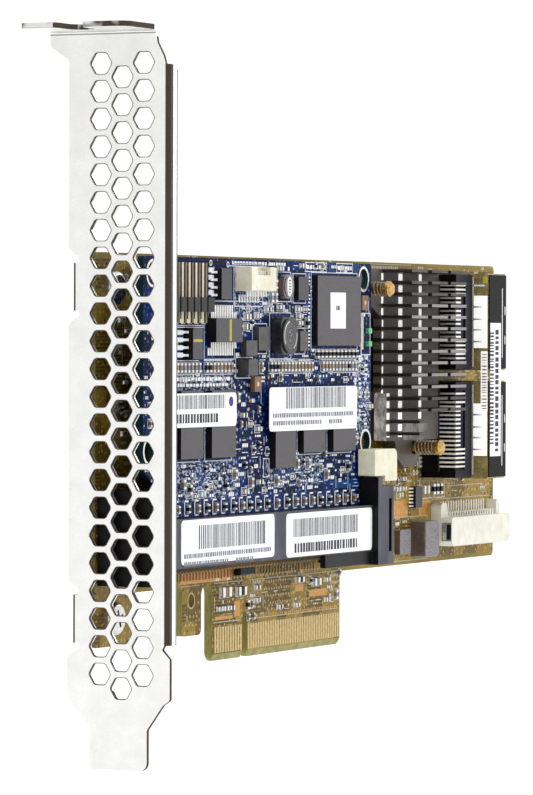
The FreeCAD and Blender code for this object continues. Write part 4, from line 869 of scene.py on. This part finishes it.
# the grounding ring round the retention tab's hole
bc.ring(36.4, 10.7, 1.12, 1.42, -0.01, 0.02, via_olive, 28)
for y, z in ((34.8, 8.0), (36.0, 8.0), (37.3, 8.0), (38.5, 8.0), (34.3, 6.6), (35.6, 6.6), (36.9, 6.6), (38.2, 6.6)):
    bc.disc(y, z, 0.24, -0.01, 0.012, via_olive, 8)
for y, z, w, t, o in ((49.1, 11.6, 3.4, 1.7, 1), (55.2, 11.5, 3.0, 1.5, 1), (79.0, 12.4, 2.6, 0.95, 1), (86.0, 11.7, 2.6, 1.3, 1),
                      (47.0, 8.8, 1.6, 0.8, 0), (49.2, 8.8, 1.6, 0.8, 0), (51.6, 8.8, 1.6, 0.8, 0), (61.8, 11.8, 1.6, 0.8, 1),
                      (61.8, 9.6, 1.6, 0.8, 1), (90.8, 11.9, 1.6, 0.8, 0), (90.8, 8.3, 1.6, 0.8, 0), (94.6, 9.0, 0.8, 1.6, 1),
                      (71.0, 8.0, 1.6, 0.8, 1), (78.0, 8.0, 1.6, 0.8, 1)):
    if B.claim(y - w / 2, y + w / 2, z - t / 2, z + t / 2, 0.04):
        chip_part(bp, 0.0, y, z, w, t, 0.7 if w > 2 else 0.5, rnd.choice((cap_brown, part_black, cap_grey)))
        if o:
            bs.frame(-0.01, 0.02, y - w / 2 - 0.35, y + w / 2 + 0.35, z - t / 2 - 0.22, z + t / 2 + 0.22, 0.12, ink_soft)
for z, a, b, p in ((12.6, 66.0, 74.0, 0.95), (11.3, 65.0, 76.0, 1.0), (10.1, 65.5, 77.0, 1.05), (8.8, 67.5, 75.5, 1.0),
                   (8.8, 80.5, 83.0, 1.0), (13.9, 53.0, 78.0, 1.3), (13.9, 82.0, 96.0, 1.3), (6.85, 67.0, 95.0, 0.8),
                   (6.85, 45.0, 55.0, 0.9)):
    y = a
    while y <= b:
        if B.claim(y - 0.22, y + 0.22, z - 0.22, z + 0.22, 0.0):
            bc.disc(y, z, 0.24, -0.01, 0.012, via_olive if z > 7 else copper, 8)
        y += p
for z in (8.4, 9.7, 11.0, 12.2):
    dash_row(bs, 0.0, 92.4, 96.2, z, 0.45, rnd, ink_soft, 0.3, 0.7)
dash_row(bs, 0.0, 60.4, 63.8, 12.5, 0.5, rnd, ink_soft, 0.3, 0.7)
# right of the socket: the free corner under the heatsink
bs.stroke(-0.01, 0.02, 144.8, 28.2, 145.5, 27.1, 0.13, ink_soft)
bs.stroke(-0.01, 0.02, 145.5, 27.1, 162.0, 27.1, 0.13, ink_soft)
bs.stroke(-0.01, 0.02, 138.0, 24.75, 166.0, 24.75, 0.13, ink_soft)
bs.frame(-0.01, 0.02, 120.0, 136.0, 13.7, 21.9, 0.13, ink_soft)
bs.frame(-0.01, 0.02, 132.2, 144.0, 25.0, 28.5, 0.13, ink)
bc.frustum(-0.01, 0.012, 117.0, 126.8, 21.9, 25.0, copper)
bc.frustum(-0.01, 0.012, 132.0, 137.2, 21.9, 24.6, copper)
B.take(117.0, 137.2, 21.9, 25.0)
for y, z, w, t, body in ((134.6, 26.7, 2.4, 1.6, cap_grey), (138.2, 26.7, 1.0, 2.0, part_black), (139.8, 26.7, 1.0, 2.0, part_black),
                         (141.6, 26.7, 1.0, 2.0, part_black), (121.5, 27.2, 1.6, 0.8, cap_brown), (124.3, 27.2, 1.6, 0.8, cap_brown),
                         (124.3, 29.0, 1.6, 0.8, cap_grey), (118.4, 27.4, 1.6, 0.8, cap_brown), (118.4, 18.6, 0.8, 1.6, cap_brown),
                         (116.8, 18.6, 0.8, 1.6, cap_brown), (115.2, 18.6, 0.8, 1.6, cap_grey)):
    if B.claim(y - w / 2, y + w / 2, z - t / 2, z + t / 2, 0.04):
        chip_part(bp, 0.0, y, z, w, t, 0.6, body)
for y, z in ((129.6, 30.0), (131.0, 30.0)):
    bs.ring(y, z, 0.3, 0.5, -0.01, 0.02, ink, 14)
B.take(128.8, 131.6, 29.2, 30.8)
for k in range(5):
    bs.frustum(-0.01, 0.02, 129.4 + 0.8 * k, 129.8 + 0.8 * k, 31.2, 32.6, ink)
bs.stroke(-0.01, 0.02, 104.0, 68.55, 128.0, 68.55, 0.13, ink_soft)
dash_row(bs, 0.0, 105.0, 122.0, 67.6 + 0.15, 0.45, rnd, ink_soft, 0.3, 0.8)
bc.frustum(-0.01, 0.02, 152.4, 155.8, 64.6, 67.2, pad_gold)
for y in (151.6, 166.0 - 1.4):
    bs.stroke(-0.01, 0.02, y, 29.0, y, 66.5, 0.13, ink_soft)
# round the heatsink and the receptacles
bs.frame(-0.01, 0.02, 131.0, 151.0, 28.4, 67.6, 0.13, ink_soft)
bs.ring(96.2, 63.8, 3.0, 3.15, -0.01, 0.02, ink_soft, 28)
bs.ring(118.2, 35.0, 4.2, 4.35, -0.01, 0.02, ink_soft, 28, 180.0, 360.0)
MIXED = (cap_brown, cap_brown, cap_grey, res_black)
fill(B, 0.0, bs, bc, bp, 45.2, 97.0, 6.8, 14.6, 1300, rnd, (ink, ink_soft), via_olive, MIXED, (4, 4, 7, 3), 0.4)
fill(B, 0.0, bs, bc, bp, 8.0, 100.5, 26.0, 60.0, 2600, rnd, (ink_soft,), via_olive, MIXED, (4, 3, 7, 3), 0.4)
fill(B, 0.0, bs, bc, bp, 98.0, 137.0, 13.8, 32.0, 1500, rnd, (ink, ink_soft), via_olive, MIXED, (6, 4, 5, 2), 0.42)
fill(B, 0.0, bs, bc, bp, 130.0, 166.0, 24.6, 68.5, 1000, rnd, (ink_soft,), via_olive, MIXED, (3, 3, 7, 3), 0.4)
fill(B, 0.0, bs, bc, bp, 93.0, 131.0, 60.0, 68.8, 500, rnd, (ink_soft,), via_olive, MIXED, (3, 5, 7, 3), 0.4)
fill(B, 0.0, bs, bc, bp, 8.0, 96.0, 60.0, 68.8, 500, rnd, (ink_soft,), via_olive, MIXED, (3, 3, 7, 3), 0.4)
bs.done()
bc.done()
bp.done()

# ---- main board, solder side: through-hole joints, vias and outlines
XB = -1.57
us = Batch("solder_side_silkscreen", "main_board_mask")
uc = Batch("solder_side_copper_marks", "main_board_mask")
U = Grid(1.0, 167.0, 5.0, 69.0)
for y0, y1, z0, z1 in ((1.0, 9.5, 5.0, 18.0), (1.0, 9.5, 60.0, 69.0), (94.0, 98.4, 61.6, 66.0), (116.0, 120.4, 32.8, 37.2), (34.4, 38.5, 8.6, 12.8),
                       (39.6, 44.8, 5.0, 15.0), (97.0, 168.0, 5.0, 14.0), (7.9, 33.0, 5.0, 14.0), (1.0, 34.0, 5.0, 10.5), (44.0, 97.0, 5.0, 6.6)):
    U.take(y0, y1, z0, z1)
for y, z in ((96.2, 63.8), (118.2, 35.0)):
    uc.ring(y, z, 2.2, 2.9, XB + 0.01, XB - 0.02, tin, 24)
    U.take(y - 2.9, y + 2.9, z - 2.9, z + 2.9)
uc.ring(36.4, 10.7, 1.12, 1.75, XB + 0.01, XB - 0.02, tin, 28)
for zc in (37.9, 58.1):
    us.frame(XB + 0.01, XB - 0.02, 131.4, 150.0, zc - 9.0, zc + 9.0, 0.15, ink)
    for k in range(26):
        for y in (132.2, 137.0):
            uc.disc(y, zc - 6.9 + 0.55 * k, 0.2, XB + 0.01, XB - 0.1, tin, 8, 0.1)
    U.take(131.4, 138.0, zc - 8.0, zc + 8.0)
us.frame(XB + 0.01, XB - 0.02, 9.0, 98.0, 15.4, 25.0, 0.15, ink)
for n, z in ((62, 17.4), (62, 22.6)):
    for k in range(n):
        uc.disc(12.05 + 1.2 * k, z, 0.33, XB + 0.01, XB - 0.14, tin, 10, 0.16)
U.take(10.6, 88.0, 16.6, 23.4)
us.frame(XB + 0.01, XB - 0.02, 102.0, 130.0, 38.5, 66.5, 0.15, ink)
for i in range(24):
    for k in range(24):
        if (i + k) % 2 == 0 or 6 < i < 17 and 6 < k < 17:
            uc.disc(104.6 + i * 1.0, 40.9 + k * 1.0, 0.2, XB + 0.01, XB - 0.012, via_olive, 8)
U.take(103.8, 128.6, 40.2, 65.0)
for j in range(8):
    us.frustum(XB - 0.02, XB + 0.01, 140.0 + 2.6 * j, 141.4 + 2.6 * j, 20.0, 20.6, ink)
fill_rnd = random.Random(411)


def fill_back(n, y0, y1, z0, z1):
    for _ in range(n):
        y = round(fill_rnd.uniform(y0, y1) / 0.4) * 0.4
        z = round(fill_rnd.uniform(z0, z1) / 0.4) * 0.4
        k = fill_rnd.random()
        if k < 0.72:
            r = fill_rnd.choice((0.22, 0.26, 0.32))
            if U.claim(y - r, y + r, z - r, z + r, 0.15):
                uc.disc(y, z, r, XB + 0.01, XB - 0.012, via_olive, 8)
        elif k < 0.88:
            L = fill_rnd.uniform(1.2, 4.0)
            if U.claim(y - L / 2, y + L / 2, z - 0.1, z + 0.1, 0.2):
                us.stroke(XB + 0.01, XB - 0.02, y - L / 2, z, y + L / 2, z, 0.12, ink_soft)
        else:
            w, t = fill_rnd.choice(((1.8, 1.0), (1.0, 1.8), (2.4, 1.4)))
            if U.claim(y - w / 2 - 0.3, y + w / 2 + 0.3, z - t / 2 - 0.3, z + t / 2 + 0.3, 0.1):
                us.frame(XB + 0.01, XB - 0.02, y - w / 2 - 0.2, y + w / 2 + 0.2, z - t / 2 - 0.2, z + t / 2 + 0.2, 0.11, ink)
                for s in (-1, 1):
                    a, b = (y + s * (w / 2 - 0.25), z) if w > t else (y, z + s * (t / 2 - 0.25))
                    uc.frustum(XB - 0.015, XB + 0.01, a - 0.25, a + 0.25, b - 0.25, b + 0.25, tin)


fill_back(2400, 2.0, 165.5, 6.0, 68.0)
us.done()
uc.done()

# ---- parts drawn on the moulded bodies
det = Batch("moulded_marks", "chip_epoxy")
for y0, y1, z0, z1 in ((15.4, 23.7, 35.1, 48.6), (26.9, 36.0, 35.1, 48.6), (51.6, 59.7, 32.8, 46.0), (62.9, 71.9, 35.2, 48.0),
                       (75.2, 84.6, 35.2, 48.0)):
    det.ring(y1 - 1.0, z0 + 1.0, 0.24, 0.42, MX + 1.09, MX + 1.112, chip_mark, 16)
det.ring(69.9, 54.9, 0.35, 0.55, MX + 0.99, MX + 1.012, chip_mark, 18)
det.ring(27.7, 55.1, 0.22, 0.36, MX + 1.89, MX + 1.912, chip_mark, 14)
det.frustum(MX + 1.89, MX + 1.915, 31.8, 32.6, 54.5, 58.1, yellow_ink)
det.frustum(MX + 1.59, MX + 1.615, 18.9, 22.2, 54.35, 54.8, yellow_ink)
det.ring(129.0, 24.3, 0.16, 0.28, 1.09, 1.112, chip_mark, 14)
det.done()

# coil tops: a wound silver oval, and a glossy disc with turned rings and two bright partial arcs on its rim, a painted
# highlight
coil = Batch("coil_top_details", "coil_shield")
XO, XR = MX + 1.1, MX + 2.2
oy, oz = 57.0, 63.85
n = 32
pts = [(oy + 1.0 * math.cos(2 * math.pi * k / n), oz + 1.75 * math.sin(2 * math.pi * k / n)) for k in range(n)]
vs = [(XO - 0.02, a, b) for a, b in pts] + [(XO + 0.05, oy + (a - oy) * 0.94, oz + (b - oz) * 0.96) for a, b in pts]
coil.add(vs, [tuple(range(n - 1, -1, -1)), tuple(range(n, 2 * n))] + [(k, (k + 1) % n, n + (k + 1) % n, n + k) for k in range(n)], tin)
for k in range(5):
    z = oz - 1.05 + 0.5 * k
    coil.frustum(XO + 0.04, XO + 0.07, oy - 0.45 + 0.08 * (k % 2), oy + 0.3 + 0.1 * (k % 3), z, z + 0.16, part_black)
for r0, r1, mm, a0, a1 in ((1.0, 1.08, cap_grey, 0, 360), (1.62, 1.7, cap_grey, 0, 360), (2.35, 2.55, tin, 100, 215),
                           (2.4, 2.55, tin, 300, 372), (2.05, 2.13, cap_grey, 0, 360)):
    coil.ring(55.1, 55.4, r0, r1, XR - 0.02, XR + 0.03, mm, 36, a0, a1)
for dy, dz, w in ((-0.55, 0.5, 0.6), (-0.2, -0.1, 0.7), (-0.5, -0.75, 0.5), (0.35, 0.2, 0.45)):
    coil.frustum(XR - 0.02, XR + 0.03, 55.1 + dy, 55.1 + dy + w, 55.4 + dz, 55.4 + dz + 0.22, cap_grey)
coil.done()

# an orange dot on each of the two wrapped capacitors
tant = Batch("tantalum_marks", "tantalum_yellow")
spark = Mat("spark_orange", rough=0.4, spec=0.4)
spark.color(spark.mix(spark.range(spark.noise(2.0, 3.0), 0.3, 0.7, 0.0, 1.0), (214, 152, 96), (240, 196, 150)))
for y, z in ((89.3, 61.3), (45.2, 47.2)):
    tant.disc(y, z, 0.42, MX + 0.79, MX + 0.86, spark, 16, 0.3)
tant.done()

# the shield walls between the receptacles' steps and tops
sp = Batch("receptacle_plates", "shield_steel")
for zc in (37.9, 58.1):
    # the white walls use the glowing plate material: painted light
    sp.frustum(7.5, 10.25, 140.10, 140.22, zc - 4.9, zc + 4.9, plate)
    # tapered grey lines at the fin rows: painted shadows of the heatsink fins on the white wall
    for k, dz in enumerate((2.8, 0.5, -1.5, -3.7)):
        sp.add([(7.5, 140.02, zc + dz - 0.16), (7.5, 140.11, zc + dz - 0.16), (7.5, 140.11, zc + dz + 0.16), (7.5, 140.02, zc + dz + 0.16),
                (9.2, 140.07, zc + dz - 0.03), (9.2, 140.11, zc + dz - 0.03), (9.2, 140.11, zc + dz + 0.03), (9.2, 140.07, zc + dz + 0.03)],
               [(3, 2, 1, 0), (4, 5, 6, 7), (0, 1, 5, 4), (1, 2, 6, 5), (2, 3, 7, 6), (3, 0, 4, 7)], cap_grey)
    sp.frustum(7.2, 7.45, 140.2, 140.34, zc - 8.4, zc + 8.4, ink_soft)
sp.frustum(7.3, 9.6, 140.2, 140.34, 64.75, 65.05, ink)
sp.frustum(9.3, 10.2, 140.2, 140.34, 65.3, 66.6, yellow_ink)
sp.frustum(9.0, 10.25, 140.12, 140.3, 41.4, 52.6, plate)
rt = random.Random(88)
z = 41.8
while z < 52.2:
    w = rt.uniform(0.1, 0.26)
    sp.frustum(9.25, 10.2, 140.06, 140.14, z, z + w, print_soft)
    z += w + rt.uniform(0.25, 0.5)
sp.done()

# bright contact strips in the slits and windows of the receptacle tops
tp = Batch("receptacle_inserts", "contact_tin")
for z0, z1 in ((29.0, 46.8), (49.3, 66.9)):
    tp.frustum(10.12, 10.53, 146.71, 146.99, z0 + 2.05, z1 - 2.45, ink)
    for zz in (z0 + 5.4, z0 + 10.9):
        tp.block(9.3, 10.42, 147.93, 148.87, zz - 0.92, zz + 0.92, ink_soft, 0.2)
tp.done()

# the connector's mouth is painted on flat: a grey patch and a black strip, the black one painted shade of the deep gap
op = Batch("side_connector_opening", "side_connector_cream")
op.frustum(2.3, 4.2, 137.5, 137.64, 17.0, 20.4, cap_grey)
op.frustum(3.3, 4.15, 137.46, 137.54, 17.3, 20.1, part_black)
op.frustum(2.45, 3.1, 137.46, 137.54, 17.2, 18.6, ink_soft)
op.done()

# low ribs on the near side of the heatsink's base
rb = Batch("heatsink_low_ribs", "heatsink_anodised")
for z in (65.11, 63.03, 60.95, 58.87, 56.78, 54.70, 52.62, 50.53, 48.45, 46.37):
    rb.frustum(2.95, 4.42, 104.4, 104.73, z - 0.34, z + 0.34, part_black)
rb.done()

# painted shade round the bracket's vent holes: a dark rim on the front face stands in for the shaded hole walls
hx = Batch("bracket_hole_edges", "bracket_steel")
rim = Mat("hole_edge_shade", rough=0.5, metal=0.3)
rim.color(rim.mix(rim.range(rim.noise(1.2, 3.0), 0.3, 0.7, 0.0, 1.0), (58, 48, 40), (104, 96, 88)))
for cx, cz in ([(5.45 + sx * 3.878, 99.228 - k * 4.478) for sx in (-1, 1) for k in range(23)]
               + [(5.45, 99.228 - (k + 0.5) * 4.478) for k in range(23)]):
    loops = []
    for af in (3.40, 3.62):
        r = af / math.sqrt(3.0)
        loop = []
        for k in range(6):
            a, b, c = (math.radians(60 * (k + j)) for j in (-1, 0, 1))
            p, q, t = ((r * math.cos(u), r * math.sin(u)) for u in (a, b, c))
            cut = 0.26 / r
            loop += [(q[0] + (p[0] - q[0]) * cut, q[1] + (p[1] - q[1]) * cut), (q[0] + (t[0] - q[0]) * cut, q[1] + (t[1] - q[1]) * cut)]
        loops.append(loop)
    i, o = loops
    n = len(i)
    vs = [(cx + a, -0.02, cz + b) for a, b in i] + [(cx + a, -0.02, cz + b) for a, b in o]
    vs += [(cx + a, 0.05, cz + b) for a, b in i] + [(cx + a, 0.05, cz + b) for a, b in o]
    fs = []
    for k in range(n):
        j = (k + 1) % n
        fs += [(n + k, n + j, j, k), (2 * n + k, 2 * n + j, 3 * n + j, 3 * n + k),
               (k, j, 2 * n + j, 2 * n + k), (n + j, n + k, 3 * n + k, 3 * n + j)]
    hx.add(vs, [tuple(reversed(f)) for f in fs], rim)
hx.done()

# ---------------------------------------------------------------- floor, light and camera
fl = bpy.data.meshes.new("floor")
S = 3.0
fl.from_pydata([(-S, -S, -0.0147), (S, -S, -0.0147), (S, S, -0.0147), (-S, S, -0.0147)], [], [(0, 1, 2, 3)])
fm = Mat("floor_white", base=(170, 170, 170), rough=0.9, spec=0.1)
fm.b.inputs["Emission Color"].default_value = (1.0, 1.0, 1.0, 1.0)
fm.b.inputs["Emission Strength"].default_value = 0.72
fl.materials.append(fm.m)
fo = bpy.data.objects.new("floor", fl)
bpy.context.scene.collection.objects.link(fo)

AZ, EL, ROLL = (math.radians(k) for k in (25.468, -0.751, 0.159))
d = Vector((-math.sin(AZ) * math.cos(EL), math.cos(AZ) * math.cos(EL), math.sin(EL)))
right = Vector((math.cos(AZ), math.sin(AZ), 0.0))
up_v = right.cross(d)
R = right * math.cos(ROLL) + up_v * math.sin(ROLL)
U_v = up_v * math.cos(ROLL) - right * math.sin(ROLL)
cam = bpy.data.cameras.new("camera")
cam.sensor_fit = "HORIZONTAL"
cam.sensor_width = 36.0
cam.lens = 4746.97 / 533.0 * 36.0
cam.clip_start = 0.02
cam.clip_end = 20.0
co = bpy.data.objects.new("camera", cam)
bpy.context.scene.collection.objects.link(co)
co.matrix_world = Matrix(((R.x, U_v.x, -d.x, (355.113 + DX) / 1000), (R.y, U_v.y, -d.y, (-679.891 + DY) / 1000),
                          (R.z, U_v.z, -d.z, 55.479 / 1000), (0, 0, 0, 1)))
bpy.context.scene.camera = co


def area(name, at, target, size, power, color=(1, 1, 1)):
    li = bpy.data.lights.new(name, "AREA")
    li.shape = "DISK"
    li.size = size
    li.energy = power
    li.color = color
    o = bpy.data.objects.new(name, li)
    bpy.context.scene.collection.objects.link(o)
    o.location = at
    o.rotation_euler = (Vector(target) - Vector(at)).to_track_quat("-Z", "Y").to_euler()
    return o


area("key", (0.55, -0.35, 0.75), (0.0, 0.02, 0.04), 0.45, 2.4)
area("rim", (0.35, 0.75, 0.35), (0.0, 0.02, 0.04), 0.4, 1.2)

world = bpy.data.worlds.new("studio")
bpy.context.scene.world = world
world.use_nodes = True
wt = world.node_tree
wt.nodes.clear()
wo = wt.nodes.new("ShaderNodeOutputWorld")
wb = wt.nodes.new("ShaderNodeBackground")
wt.links.new(wb.outputs[0], wo.inputs[0])
tc = wt.nodes.new("ShaderNodeTexCoord")
dot = wt.nodes.new("ShaderNodeVectorMath")
dot.operation = "DOT_PRODUCT"
wt.links.new(tc.outputs["Generated"], dot.inputs[0])
dot.inputs[1].default_value = (0.15, 0.98, 0.12)
ramp = wt.nodes.new("ShaderNodeMapRange")
wt.links.new(dot.outputs["Value"], ramp.inputs[0])
for i, k in enumerate((-1.0, 0.7, 0.84, 1.03)):
    ramp.inputs[i + 1].default_value = k
wt.links.new(ramp.outputs[0], wb.inputs["Strength"])
wb.inputs["Color"].default_value = (1.0, 1.0, 1.0, 1.0)
bpy.context.scene.view_settings.view_transform = "Standard"
